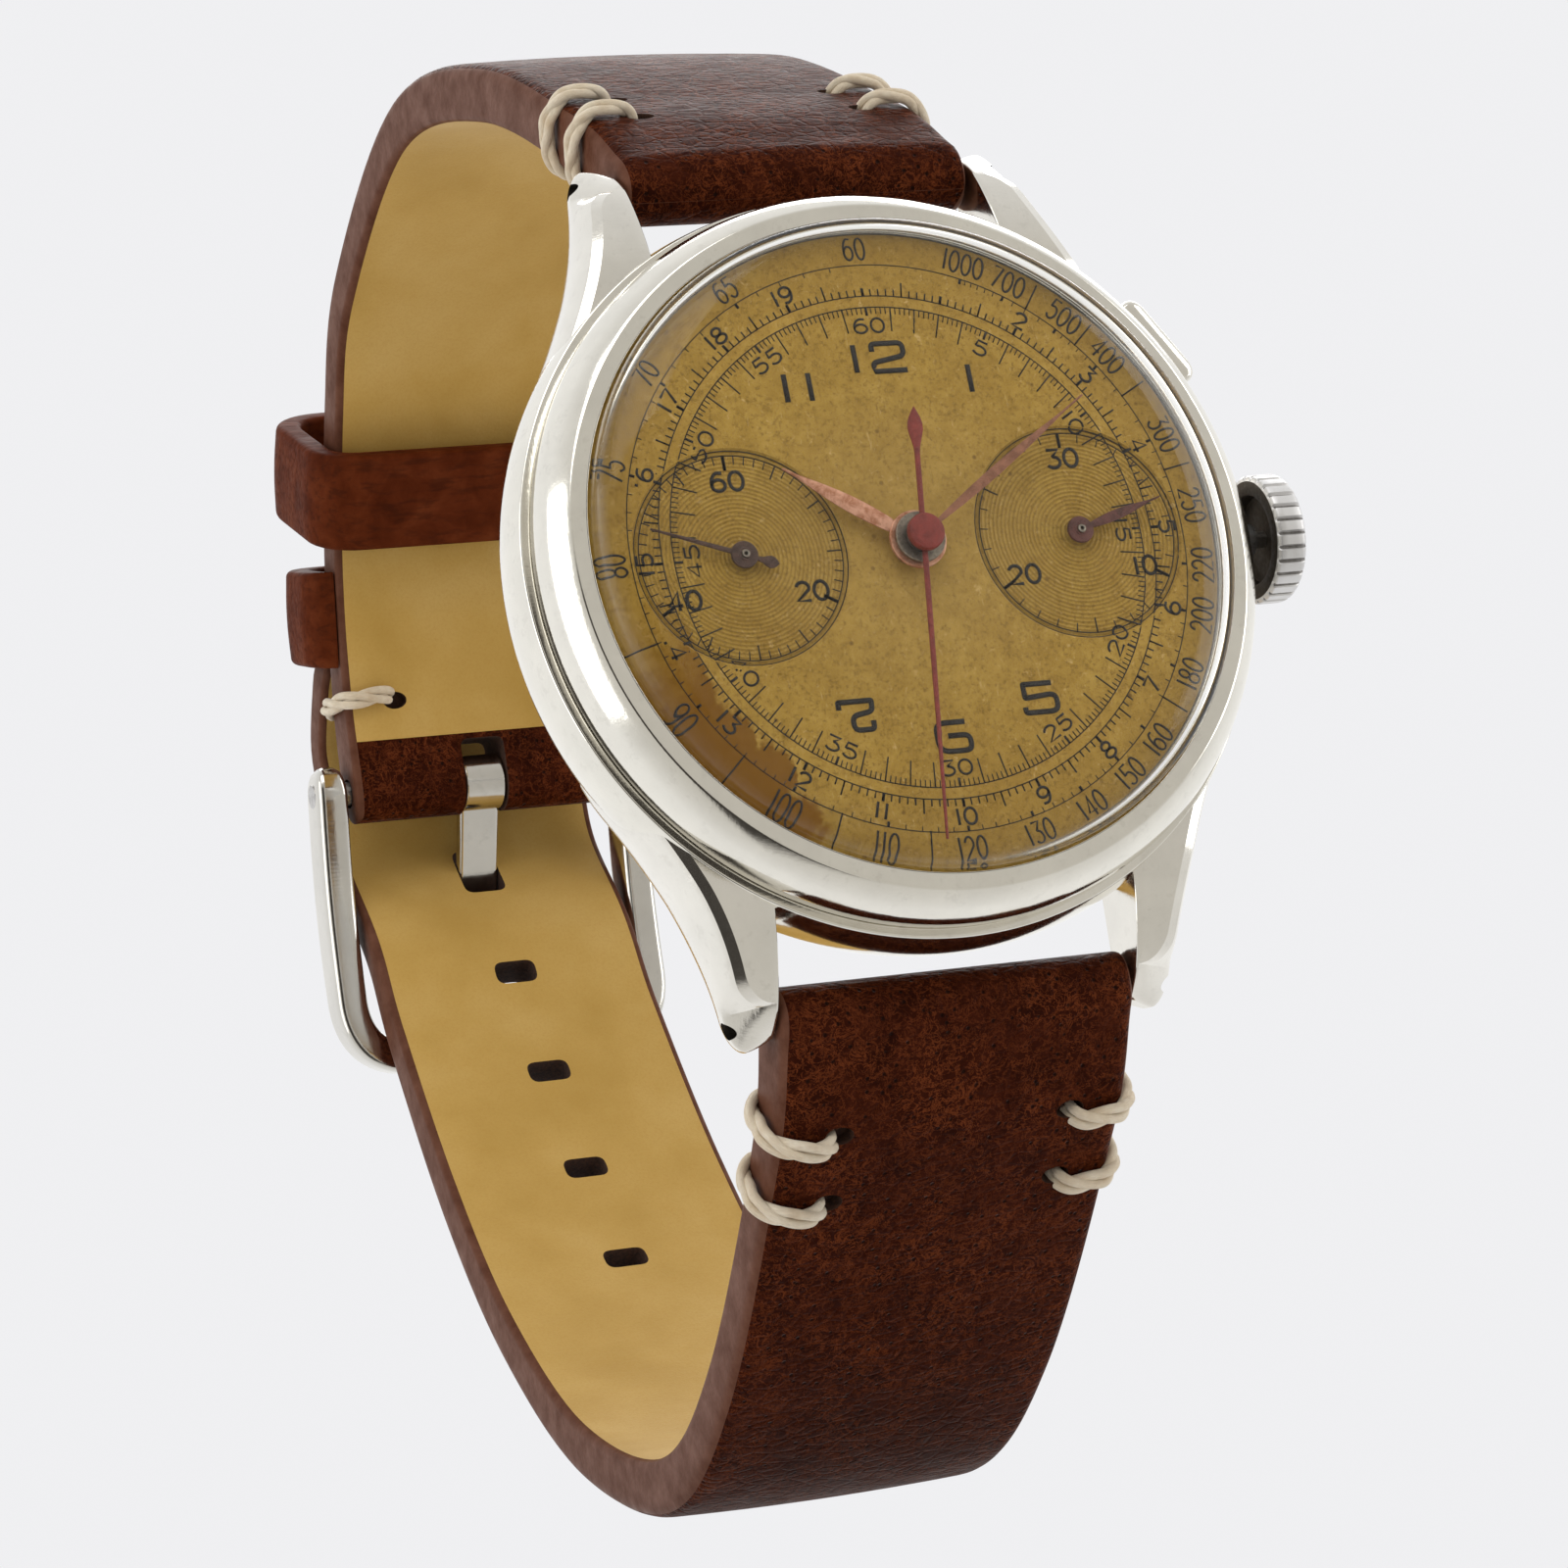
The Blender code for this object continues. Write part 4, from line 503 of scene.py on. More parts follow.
def polished_steel(name, colour, rough, haze, scratch=0.002):
    """Old polished steel: soft haze, handling marks and fine crossing scratches."""
    steel = Finish(name, {"Base Color": colour + (1.0,), "Metallic": 1.0, "Roughness": rough})
    cloud = steel.noise(3.2, 4.0, 0.6)
    marks = steel.noise(0.5, 5.0, 0.7, 0.4)
    spots = steel.ramp(steel.noise(0.9, 6.0, 0.75), (0.36, 1.0), (0.44, 0.0))
    steel.feed("Roughness", steel.ramp(steel.mix(0.5, cloud, marks), (0.3, rough), (0.75, rough + haze)))
    shade = steel.ramp(cloud, (0.3, tuple(0.9 * c for c in colour)), (0.7, colour))
    steel.feed("Base Color", steel.mix(steel.calc("MULTIPLY", spots, 0.08), shade, (0.24, 0.21, 0.18)))
    lines = steel.noise(0.12, 2.0, 0.5, 0.0, steel.shifted((1.0, 0.5, 0.05), turn=(0.3, 0.5, 0.2)))
    crossing = steel.noise(0.1, 2.0, 0.5, 0.0, steel.shifted((0.05, 1.0, 0.7), turn=(0.9, 0.2, 1.1)))
    scratches = steel.relief(steel.calc("ADD", lines, crossing), scratch)
    steel.feed("Normal", steel.relief(cloud, 0.01, scratches))
    return steel.material


def worn_steel(name, colour, rough, dirt):
    """Steel gone grey: pitted, with brown grime lying in its low places."""
    steel = Finish(name, {"Base Color": colour + (1.0,), "Metallic": 1.0, "Roughness": rough})
    cloud = steel.noise(1.3, 5.0, 0.65)
    pits = steel.noise(0.22, 4.0, 0.7)
    grime = steel.ramp(steel.mix(0.4, cloud, pits), (0.38, dirt), (0.62, 0.0))
    shade = steel.ramp(pits, (0.3, tuple(0.72 * c for c in colour)), (0.65, colour))
    steel.feed("Base Color", steel.mix(grime, shade, (0.10, 0.075, 0.055)))
    steel.feed("Roughness", steel.ramp(pits, (0.3, rough + 0.16), (0.7, rough)))
    steel.feed("Normal", steel.relief(pits, 0.012, steel.relief(cloud, 0.03)))
    return steel.material


def turned_steel(name, colour, rough):
    """Steel with the fine rings of turning about the watch's own axis."""
    steel = Finish(name, {"Base Color": colour + (1.0,), "Metallic": 1.0, "Roughness": rough})
    rings = steel.calc("SINE", steel.calc("MULTIPLY", steel.off_axis(), TURN / (0.11 * MM)))
    cloud = steel.noise(2.4, 5.0, 0.65)
    steel.feed("Base Color", steel.ramp(cloud, (0.3, tuple(0.8 * c for c in colour)), (0.7, colour)))
    steel.feed("Roughness", steel.ramp(cloud, (0.3, rough + 0.15), (0.7, rough)))
    steel.feed("Normal", steel.relief(steel.noise(0.3, 4.0, 0.6), 0.006, steel.relief(rings, 0.0015)))
    return steel.material


def brass_metal():
    """Gilt brass with a faint brushed grain and darker tarnish."""
    brass = Finish("gilt_brass", {"Base Color": (0.68, 0.45, 0.17, 1), "Metallic": 1.0, "Roughness": 0.3})
    cloud = brass.noise(1.1, 5.0, 0.6)
    grain = brass.noise(0.08, 2.0, 0.5, 0.0, brass.shifted((1.0, 1.0, 0.06)))
    brass.feed("Base Color", brass.ramp(cloud, (0.3, (0.50, 0.30, 0.10)), (0.7, (0.74, 0.50, 0.20))))
    brass.feed("Roughness", brass.ramp(cloud, (0.3, 0.45), (0.7, 0.26)))
    brass.feed("Normal", brass.relief(grain, 0.004))
    return brass.material


def dial_stain(dial, out):
    """Cover of the amber stain on the outer rings between 7 and 8.

    It is a product of soft steps on the distance out and on two directions, of which one points to the
    stain and the other round the dial. Noise makes its edge ragged, and the lower edge slants.
    """
    outward = dial.measure("DOT_PRODUCT", dial.place, (-0.731, 0, -0.682))
    along = dial.measure("DOT_PRODUCT", dial.place, (-0.682, 0, 0.731))
    ragged = dial.calc("MULTIPLY", dial.calc("SUBTRACT", dial.noise(1.5, 4.0, 0.6), 0.5), 0.003)
    along = dial.calc("ADD", along, ragged)
    slant = dial.calc("MULTIPLY", dial.calc("MINIMUM", along, 0.0), 0.42)
    cover = dial.step(dial.calc("ADD", dial.calc("ADD", out, slant), ragged), 0.0121, 0.0126)
    for value, low, high, start, end in ((along, -0.0052, -0.0046, 0.0, 0.85),
                                         (along, 0.003, 0.009, 1.0, 0.0), (outward, 0.005, 0.007, 0.0, 1.0)):
        cover = dial.calc("MULTIPLY", cover, dial.step(value, low, high, start, end))
    return cover


def dial_paint():
    """A golden dial gone brown: mottled, flecked, stained at 7 to 8 and turned in its registers, with painted
    shade in the turned grooves.
    """
    dial = Finish("aged_dial", {"Base Color": (0.40, 0.23, 0.06, 1), "Roughness": 0.6,
                                "Specular IOR Level": 0.14})
    cloud = dial.noise(5.0, 4.0, 0.6, 0.3)
    mottle = dial.noise(0.85, 6.0, 0.72, 0.3)
    base = dial.ramp(mottle, (0.27, (0.285, 0.168, 0.026)), (0.5, (0.385, 0.238, 0.042)),
                     (0.76, (0.47, 0.305, 0.066)))
    base = dial.mix(dial.ramp(cloud, (0.32, 0.28), (0.6, 0.0)), base, (0.245, 0.138, 0.022))
    grain = dial.noise(0.2, 4.0, 0.75)
    base = dial.mix(dial.ramp(grain, (0.32, 0.75), (0.5, 0.0)), base, (0.15, 0.080, 0.011))
    flecks = dial.noise(0.38, 5.0, 0.72, 0.7)
    base = dial.mix(dial.ramp(flecks, (0.6, 0.0), (0.7, 0.7)), base, (0.60, 0.42, 0.17))
    rubbed = dial.noise(0.2, 3.0, 0.6, 0.2, dial.shifted((1.0, 1.0, 0.22), turn=(0.0, 0.45, 0.0)))
    base = dial.mix(dial.ramp(rubbed, (0.67, 0.0), (0.75, 0.4)), base, (0.62, 0.45, 0.19))
    spots = dial.cells(1.7)
    base = dial.mix(dial.ramp(spots, (0.04, 0.7), (0.085, 0.0)), base, (0.10, 0.045, 0.010))
    # the middle is worn paler and the outer rings lie darker
    out = dial.off_axis()
    base = dial.mix(dial.step(out, 0.001, 0.010, 0.2, 0.0), base, (0.60, 0.42, 0.17))
    base = dial.mix(dial.step(out, 0.0115, 0.0165, 0.0, 0.45), base, (0.17, 0.092, 0.014))
    base = dial.mix(dial_stain(dial, out), base, (0.16, 0.062, 0.001))
    # turned rings in the registers: bumped, and darkened in their grooves as painted shade
    rough = dial.relief(grain, 0.008)
    for side in (-1, 1):
        ring = dial.off_axis(side * REGISTER_OFFSET * MM)
        inside = dial.step(ring, (REGISTER_RADIUS - 0.12) * MM, (REGISTER_RADIUS - 0.08) * MM, 1.0, 0.0)
        groove = dial.calc("SINE", dial.calc("MULTIPLY", ring, TURN / (0.2 * MM)))
        shadow = dial.calc("MULTIPLY", dial.step(groove, -0.3, 0.9, 0.0, 0.4), inside)
        base = dial.mix(shadow, base, (0.16, 0.090, 0.016))
        rough = dial.relief(dial.calc("MULTIPLY", groove, inside), 0.016, rough)
    dial.feed("Base Color", base)
    dial.feed("Roughness", dial.ramp(mottle, (0.3, 0.66), (0.7, 0.48)))
    dial.feed("Normal", rough)
    return dial.material


def printing_ink(name, colour):
    """Dark printing ink, a little broken and faded."""
    ink = Finish(name, {"Base Color": colour + (1.0,), "Roughness": 0.6, "Specular IOR Level": 0.3})
    broken = ink.noise(0.35, 5.0, 0.7)
    ink.feed("Base Color", ink.ramp(broken, (0.35, colour), (0.8, tuple(c + 0.02 for c in colour))))
    ink.feed("Normal", ink.relief(ink.noise(0.08, 3.0), 0.004))
    return ink.material


def hand_metal(name, bright, dull, metal, rough):
    """A coloured hand, its lacquer worn to a duller tone in patches."""
    hand = Finish(name, {"Base Color": bright + (1.0,), "Metallic": metal, "Roughness": rough})
    worn = hand.noise(0.55, 5.0, 0.7, 0.4)
    hand.feed("Base Color", hand.ramp(worn, (0.38, dull), (0.6, bright)))
    hand.feed("Roughness", hand.ramp(worn, (0.35, rough + 0.2), (0.65, rough)))
    hand.feed("Normal", hand.relief(hand.noise(0.15, 4.0, 0.6), 0.006))
    return hand.material


def clear_crystal():
    """Domed acrylic with a few hairline scratches."""
    crystal = Finish("acrylic_crystal", {"Base Color": (0.985, 0.98, 0.955, 1), "Roughness": 0.015,
                                         "IOR": 1.49, "Specular Tint": (0.25, 0.25, 0.25, 1),
                                         "Transmission Weight": 1.0})
    hair = crystal.noise(0.3, 2.0, 0.5, 0.0, crystal.shifted((1.0, 1.0, 0.03), turn=(0.0, 0.6, 0.0)))
    hair = crystal.ramp(hair, (0.68, 0.0), (0.72, 1.0))
    crystal.feed("Normal", crystal.relief(hair, 0.0004))
    return crystal.material


def strap_leather():
    """Waxed red-brown calf: dark ground, thin lighter veins, dark pores and pebbled creases.

    A vein lies where a cloudy noise passes through its middle value.
    """
    hide = Finish("strap_leather", {"Base Color": (0.07, 0.016, 0.008, 1), "Roughness": 0.46,
                                    "Specular IOR Level": 0.022, "Sheen Weight": 0.1, "Sheen Roughness": 0.2,
                                    "Sheen Tint": (0.9, 0.78, 0.74, 1)})
    marble = hide.noise(1.9, 5.0, 0.62, 0.6)
    base = hide.ramp(marble, (0.3, (0.018, 0.0031, 0.0011)), (0.52, (0.031, 0.0055, 0.0018)),
                     (0.74, (0.052, 0.0105, 0.0035)))
    patchy = hide.ramp(hide.noise(3.0, 3.0), (0.35, 0.35), (0.65, 1.0))
    for size, width, amount in ((0.95, 0.026, 0.85), (0.42, 0.036, 0.6)):
        away = hide.calc("ABSOLUTE", hide.calc("SUBTRACT", hide.noise(size, 5.0, 0.66, 0.7), 0.5))
        vein = hide.step(away, 0.004, width, amount, 0.0)
        base = hide.mix(hide.calc("MULTIPLY", vein, patchy), base, (0.150, 0.036, 0.0105))
    pores = hide.cells(0.62)
    pore = hide.ramp(pores, (0.11, 1.0), (0.2, 0.0))
    base = hide.mix(hide.calc("MULTIPLY", pore, 0.85), base, (0.008, 0.003, 0.002))
    hide.feed("Base Color", base)
    crease = hide.noise(0.7, 4.0, 0.62, 0.6, hide.shifted((0.5, 1.0, 1.0)))
    pebble = hide.cells(0.75, "DISTANCE_TO_EDGE", hide.shifted((0.7, 1.0, 1.0)))
    pebble = hide.ramp(pebble, (0.0, 0.0), (0.14, 1.0))
    hide.feed("Roughness", hide.ramp(crease, (0.3, 0.56), (0.7, 0.40)))
    rough = hide.relief(pebble, 0.03)
    rough = hide.relief(crease, 0.09, rough)
    hide.feed("Normal", hide.relief(pore, -0.05, rough))
    return hide.material


def edge_paint():
    """Satin paint on the strap's cut edges, a little cloudy and uneven."""
    paint = Finish("edge_paint", {"Base Color": (0.115, 0.055, 0.045, 1), "Roughness": 0.4,
                                  "Specular IOR Level": 0.05})
    cloud = paint.noise(1.4, 5.0, 0.65)
    paint.feed("Base Color", paint.ramp(cloud, (0.3, (0.084, 0.030, 0.016)), (0.7, (0.145, 0.061, 0.037))))
    paint.feed("Roughness", paint.ramp(cloud, (0.3, 0.52), (0.7, 0.36)))
    paint.feed("Normal", paint.relief(paint.noise(0.5, 4.0, 0.6), 0.018))
    return paint.material


def lining_leather():
    """Tan suede-like lining, faintly cloudy, with a darker nap and fine wrinkles."""
    lining = Finish("lining_leather", {"Base Color": (0.42, 0.25, 0.06, 1), "Roughness": 0.78,
                                       "Specular IOR Level": 0.25, "Sheen Weight": 0.15})
    cloud = lining.noise(7.0, 3.0, 0.5, 0.2)
    nap = lining.noise(0.16, 4.0, 0.7)
    base = lining.ramp(cloud, (0.3, (0.455, 0.275, 0.055)), (0.5, (0.515, 0.322, 0.078)),
                       (0.74, (0.575, 0.378, 0.115)))
    base = lining.mix(lining.ramp(nap, (0.3, 0.25), (0.55, 0.0)), base, (0.42, 0.22, 0.045))
    lining.feed("Base Color", base)
    lining.feed("Roughness", lining.ramp(nap, (0.3, 0.86), (0.7, 0.68)))
    wrinkle = lining.noise(0.9, 4.0, 0.6, 0.3, lining.shifted((0.3, 1.0, 1.0)))
    lining.feed("Normal", lining.relief(nap, 0.02, lining.relief(wrinkle, 0.03)))
    return lining.material


def keeper_leather():
    """Smoother, warmer brown leather with fine lines along the keeper, made lighter than the strap's leather
    as painted light for the keeper's lit side.
    """
    band = Finish("keeper_leather", {"Base Color": (0.10, 0.026, 0.010, 1), "Roughness": 0.5,
                                     "Specular IOR Level": 0.02})
    cloud = band.noise(1.8, 4.0, 0.6, 0.4)
    lines = band.noise(0.4, 3.0, 0.6, 0.2, band.shifted((0.25, 1.0, 1.0)))
    base = band.ramp(cloud, (0.3, (0.062, 0.0115, 0.0030)), (0.52, (0.096, 0.0195, 0.0055)),
                     (0.76, (0.135, 0.032, 0.0100)))
    base = band.mix(band.ramp(lines, (0.34, 0.5), (0.5, 0.0)), base, (0.035, 0.009, 0.004))
    band.feed("Base Color", base)
    band.feed("Roughness", band.ramp(lines, (0.3, 0.6), (0.7, 0.44)))
    band.feed("Normal", band.relief(lines, 0.03, band.relief(cloud, 0.06)))
    return band.material


def raw_leather():
    """The dark fibrous wall of a punched hole."""
    raw = Finish("raw_leather", {"Base Color": (0.045, 0.016, 0.009, 1), "Roughness": 0.85})
    fibre = raw.noise(0.2, 4.0, 0.7)
    raw.feed("Base Color", raw.ramp(fibre, (0.3, (0.018, 0.007, 0.005)), (0.7, (0.085, 0.034, 0.016))))
    raw.feed("Normal", raw.relief(fibre, 0.05))
    return raw.material


def linen_thread():
    """Cream waxed linen with fine fibres along each strand."""
    thread = Finish("linen_thread", {"Base Color": (0.72, 0.60, 0.42, 1), "Roughness": 0.62,
                                     "Specular IOR Level": 0.35, "Sheen Weight": 0.2})
    fibre = thread.noise(0.18, 3.0, 0.6, 0.2, thread.shifted((7.0, 0.5, 1.0), source=thread.lie))
    cloud = thread.noise(1.2, 4.0, 0.6)
    base = thread.ramp(cloud, (0.3, (0.70, 0.56, 0.38)), (0.7, (0.90, 0.81, 0.65)))
    base = thread.mix(thread.ramp(fibre, (0.3, 0.35), (0.6, 0.0)), base, (0.38, 0.26, 0.15))
    thread.feed("Base Color", base)
    thread.feed("Normal", thread.relief(fibre, 0.05))
    return thread.material


case_steel = polished_steel("case_steel", (0.87, 0.845, 0.775), 0.08, 0.08)
lug_steel = polished_steel("lug_steel", (0.87, 0.845, 0.785), 0.09, 0.10, 0.003)
buckle_steel = polished_steel("buckle_steel", (0.70, 0.68, 0.635), 0.10, 0.10)
grey_steel = polished_steel("grey_steel", (0.74, 0.735, 0.735), 0.42, 0.14, 0.004)
# near-black steel laid on the drilled holes, the chrono needle's neck and the crown's hollow as painted shade
recess_shade = worn_steel("painted_recess_shade", (0.085, 0.075, 0.065), 0.5, 0.5)
# darker grey steel for the bottoms of the crown's flutes as painted shade, with the worn steel's own grime
flute_shade_and_grime = worn_steel("flute_shade_and_grime", (0.36, 0.35, 0.34), 0.5, 0.3)
boss_steel = worn_steel("boss_steel", (0.36, 0.32, 0.27), 0.34, 0.6)
back_steel = turned_steel("back_steel", (0.66, 0.65, 0.63), 0.26)
movement_steel = worn_steel("movement_steel", (0.62, 0.61, 0.60), 0.26, 0.2)
gilt_brass = brass_metal()
dial_finish = dial_paint()
ink = printing_ink("dial_ink", (0.012, 0.009, 0.007))
copper = hand_metal("copper_hand", (0.66, 0.36, 0.25), (0.40, 0.17, 0.09), 0.6, 0.36)
russet = hand_metal("russet_hand", (0.30, 0.125, 0.070), (0.20, 0.080, 0.042), 0.2, 0.45)
plum = hand_metal("plum_hand", (0.115, 0.036, 0.028), (0.06, 0.020, 0.015), 0.2, 0.45)
dark_hand = hand_metal("dark_hand", (0.085, 0.045, 0.034), (0.045, 0.024, 0.018), 0.3, 0.42)
red_lacquer = hand_metal("red_hand", (0.225, 0.026, 0.018), (0.14, 0.017, 0.011), 0.05, 0.45)
crystal_finish = clear_crystal()
hide = strap_leather()
paint = edge_paint()
lining = lining_leather()
lit_keeper_hide = keeper_leather()
raw = raw_leather()
linen = linen_thread()
STRAP_FINISHES = (hide, paint, lining, raw)
GRAIN, EDGE, LINING, RAW = range(4)
SECTION_POINTS = 46
GRAIN_POINTS = slice(3, 21)
LINING_POINTS = slice(30, 40)


def along_pusher(reach, loop):
    """Loops (u across the pusher, v above its middle) at distances d out from the dial's axis.

    With the pusher's angle a, x = d sin a + u cos a, y = d cos a - u sin a and z is v over its height.
    """
    way = np.sin(np.radians(PUSHER_ANGLE)), np.cos(np.radians(PUSHER_ANGLE))
    reach = np.asarray(reach, float)[:, None]
    x = way[0] * reach + way[1] * loop[..., 0]
    y = way[1] * reach - way[0] * loop[..., 0]
    return np.stack((x, y, np.broadcast_to(PUSHER_HEIGHT + loop[..., 1], x.shape)), axis=-1)


def make_case_band():
    """The case ring: its profile of flank, ledge and bezel collar carried round the axis, less its holes."""
    flank = bowed((CASE_RADIUS - 0.55, CASE_TOP), (CASE_RADIUS - 1.1, CASE_BOTTOM), 0.12, 25)
    corners = np.concatenate((((COLLAR_RADIUS, COLLAR_TOP), (COLLAR_RADIUS, CASE_TOP)), flank,
                              ((BORE_RADIUS, CASE_BOTTOM), (BORE_RADIUS, COLLAR_TOP))))
    reach = np.concatenate(((0.05, 0.04), (0.1,), np.zeros(23), (0.12,), (0.05, 0.05)))
    band = Skin().add(lathe(eased(corners, reach), 288), along=True)
    cutters = Skin()
    wide = PUSHER_WIDTH / 2 + 2 * FIT
    thick = PUSHER_THICKNESS / 2 + 2 * FIT
    pocket = eased(box(-wide, wide, -thick, thick), 0.3)
    cutters.add(along_pusher((CASE_RADIUS - PUSHER_POCKET_DEPTH, 2 * CASE_RADIUS), pocket))
    cutters.add(cross_lathe(((STEM_TUBE_RADIUS, 17.0), (STEM_TUBE_RADIUS, 40.0)), 48, (0, CROWN_HEIGHT)))
    band.piece("case_band", "case", [case_steel], ["mid_case"], "polished_steel", 38, cutters)


def quarter_ellipse(t, start, length):
    """One up to the start, then sqrt(1 - u^2) with u growing from 0 to 1 over the length."""
    return np.sqrt(np.clip(1 - np.clip((t - start) / length, 0, 1) ** 2, 0, 1))


def lug_outline():
    """One lug's share of length t, its y, outer edge, top and underside, and how open its end still is.

    The outer edge falls from the flank to the tip as 1 - (1 - t)^1.7, the top droops as a power of t
    and the end closes on a quarter ellipse.
    """
    share = np.linspace(0, 1, 81)[:, None]
    y = LUG_ROOT + (LUG_TIP - LUG_ROOT) * np.sin(share * np.pi / 2)
    t = (y - LUG_ROOT) / (LUG_TIP - LUG_ROOT)
    end = quarter_ellipse(t, 0.87, 0.13)
    root = np.sqrt((CASE_RADIUS - 0.3) ** 2 - LUG_ROOT ** 2)
    x = root + (LUG_INNER + LUG_TIP_WIDTH - root) * (1 - (1 - t) ** 1.7)
    x = x - 0.25 * np.clip(1 - t / 0.12, 0, 1) ** 2
    x = LUG_INNER + (x - LUG_INNER) * (0.5 + 0.5 * end)
    droop = np.clip((t - 0.45) / 0.55, 0, 1)
    top = CASE_TOP - 0.05 - LUG_DROOP * droop ** 1.7
    low = CASE_BOTTOM + 0.1 - 0.75 * droop
    top = BAR_HEIGHT + (top - BAR_HEIGHT) * (0.35 + 0.65 * end)
    low = BAR_HEIGHT + (low - BAR_HEIGHT) * (0.35 + 0.65 * end)
    return t, y, x, top, low, end


def lug_sections():
    """Sections of one lug, as arrays of x, y and z over (station, section point).

    Each is a flat inner face, a flat top facet, a straight bevel and a flank on the parabola
    (1-s)^2 a + 2s(1-s) c + s^2 b. Before the tip the bevel turns in to the inner face on a quarter
    ellipse, so that the flank wraps the end, and the inner side of the tip stands back.
    """
    t, y, x, top, low, end = lug_outline()
    middle = low + 0.5 * (top - low)
    corner = 0.1 + 0.15 * (1 - end)
    start = LUG_INNER + 1.2 * corner
    facet_end = start + (x - 1.05 + 0.1 * t - start) * quarter_ellipse(t, 0.77, 0.1)
    bevel = np.minimum(0.55, 0.5 * (x - facet_end)) * np.clip(0.2 + 3.0 * t, 0.2, 1)
    shoulder = facet_end + bevel
    edge = top - 0.4 * bevel
    bend = np.maximum(edge - 1.1 * (x - shoulder), middle + 0.12 * (edge - middle))
    ease = np.array((0.0, 0.3, 0.6, 1.0))
    facet = np.linspace(0, 1, 5)[1:]
    strip = np.linspace(0, 1, 4)[1:]
    s = np.linspace(0, 1, 18)[1:]
    w = np.linspace(0, 1, 9)[1:]
    under = 0.45 * np.minimum(0.95, (x - LUG_INNER) * 0.42)
    px = np.concatenate((LUG_INNER + np.array((0.3, 0.0, 0.0)) + 0 * t,
                         LUG_INNER + corner * ease ** 2,
                         LUG_INNER + corner + (facet_end - LUG_INNER - corner) * facet,
                         facet_end + bevel * strip,
                         shoulder * (1 - s) ** 2 + x * (1 - (1 - s) ** 2),
                         x - under * w ** 2), axis=1)
    pz = np.concatenate((low, low + 0.3, middle,
                         top - corner * (1 - ease) ** 2,
                         top + 0 * facet,
                         top - (top - edge) * strip,
                         edge * (1 - s) ** 2 + bend * 2 * s * (1 - s) + middle * s ** 2,
                         middle + (low - middle) * w), axis=1)
    pull = 0.5 * np.clip((t - 0.8) / 0.2, 0, 1) ** 2
    return px, y - pull * np.clip(1 - (px - LUG_INNER) / 1.5, 0, 1) ** 1.5, pz


def make_lugs():
    """Four lugs mirrored from one, each drilled through for its spring bar's pin, the holes' walls dark as
    painted shade.
    """
    px, py, pz = lug_sections()
    lugs = Skin()
    for across in (-1, 1):
        for up in (-1, 1):
            lugs.add(np.stack((across * px, up * py, pz), axis=-1))
    drills = Skin()
    drill = ((LUG_HOLE_RADIUS, -30.0), (LUG_HOLE_RADIUS, 30.0))
    for up in (-1, 1):
        # the drilled holes' walls take the near-black steel as painted shade
        drills.add(cross_lathe(drill, 40, (up * BAR_Y, BAR_HEIGHT)), slots=1)
    lugs.piece("case_lugs", "case", [lug_steel, recess_shade], ["mid_case"], "polished_steel", 15, drills)


def bulged(radius, low, apex, power, slope):
    """A dome's profile from its axis out, on (r / R)^p + ((z - low) / (apex - low))^p = 1."""
    out = radius * np.sin(slope) ** (2 / power)
    return np.stack((out, low + (apex - low) * np.cos(slope).clip(0) ** (2 / power)), axis=-1)


def make_bezel():
    """The bezel: a closed profile of lip, bowed flank, bore and shelf carried round the axis."""
    flank = bowed((LIP_RADIUS + BEZEL_FLAT, BEZEL_TOP - 0.05), (BEZEL_RADIUS, CASE_TOP + 0.1), 0.16, 17)
    bore = COLLAR_RADIUS + FIT
    shelf = COLLAR_TOP + FIT
    corners = np.concatenate((((LIP_RADIUS, BEZEL_TOP),), flank,
                              ((bore, CASE_TOP + 0.1), (bore, shelf), (BORE_RADIUS, shelf),
                               (BORE_RADIUS, UNDER_LIP), (LIP_RADIUS, UNDER_LIP))))
    reach = np.concatenate(((0.09,), (0.09,), np.zeros(15), (0.07,), np.full(5, 0.04)))
    bezel = Skin().add(lathe(eased(corners, reach), 320), along=True)
    bezel.piece("bezel_ring", "case", [case_steel], ["bezel"], "polished_steel", 40)


def make_crystal():
    """The crystal: two nested domes joined by a flange under the bezel's lip, carried round the axis."""
    slope = np.radians(np.linspace(0.4, 90, 34))
    flange = BORE_RADIUS - FIT
    seat = UNDER_LIP - FIT
    foot = DIAL_TOP + 0.12
    outer = bulged(CRYSTAL_RADIUS, BEZEL_TOP, CRYSTAL_APEX, 3.3, slope)
    inner = bulged(CRYSTAL_RADIUS - 0.44, foot, CRYSTAL_APEX - 0.8, 4.2, slope)
    rim = ((CRYSTAL_RADIUS, seat), (flange, seat), (flange, foot))
    dome = Skin().add(lathe(np.concatenate((outer, rim, inner[::-1])), 224))
    glass = dome.piece("domed_crystal", "case", [crystal_finish], ["crystal"], "crystal", 40)
    glass.visible_shadow = False


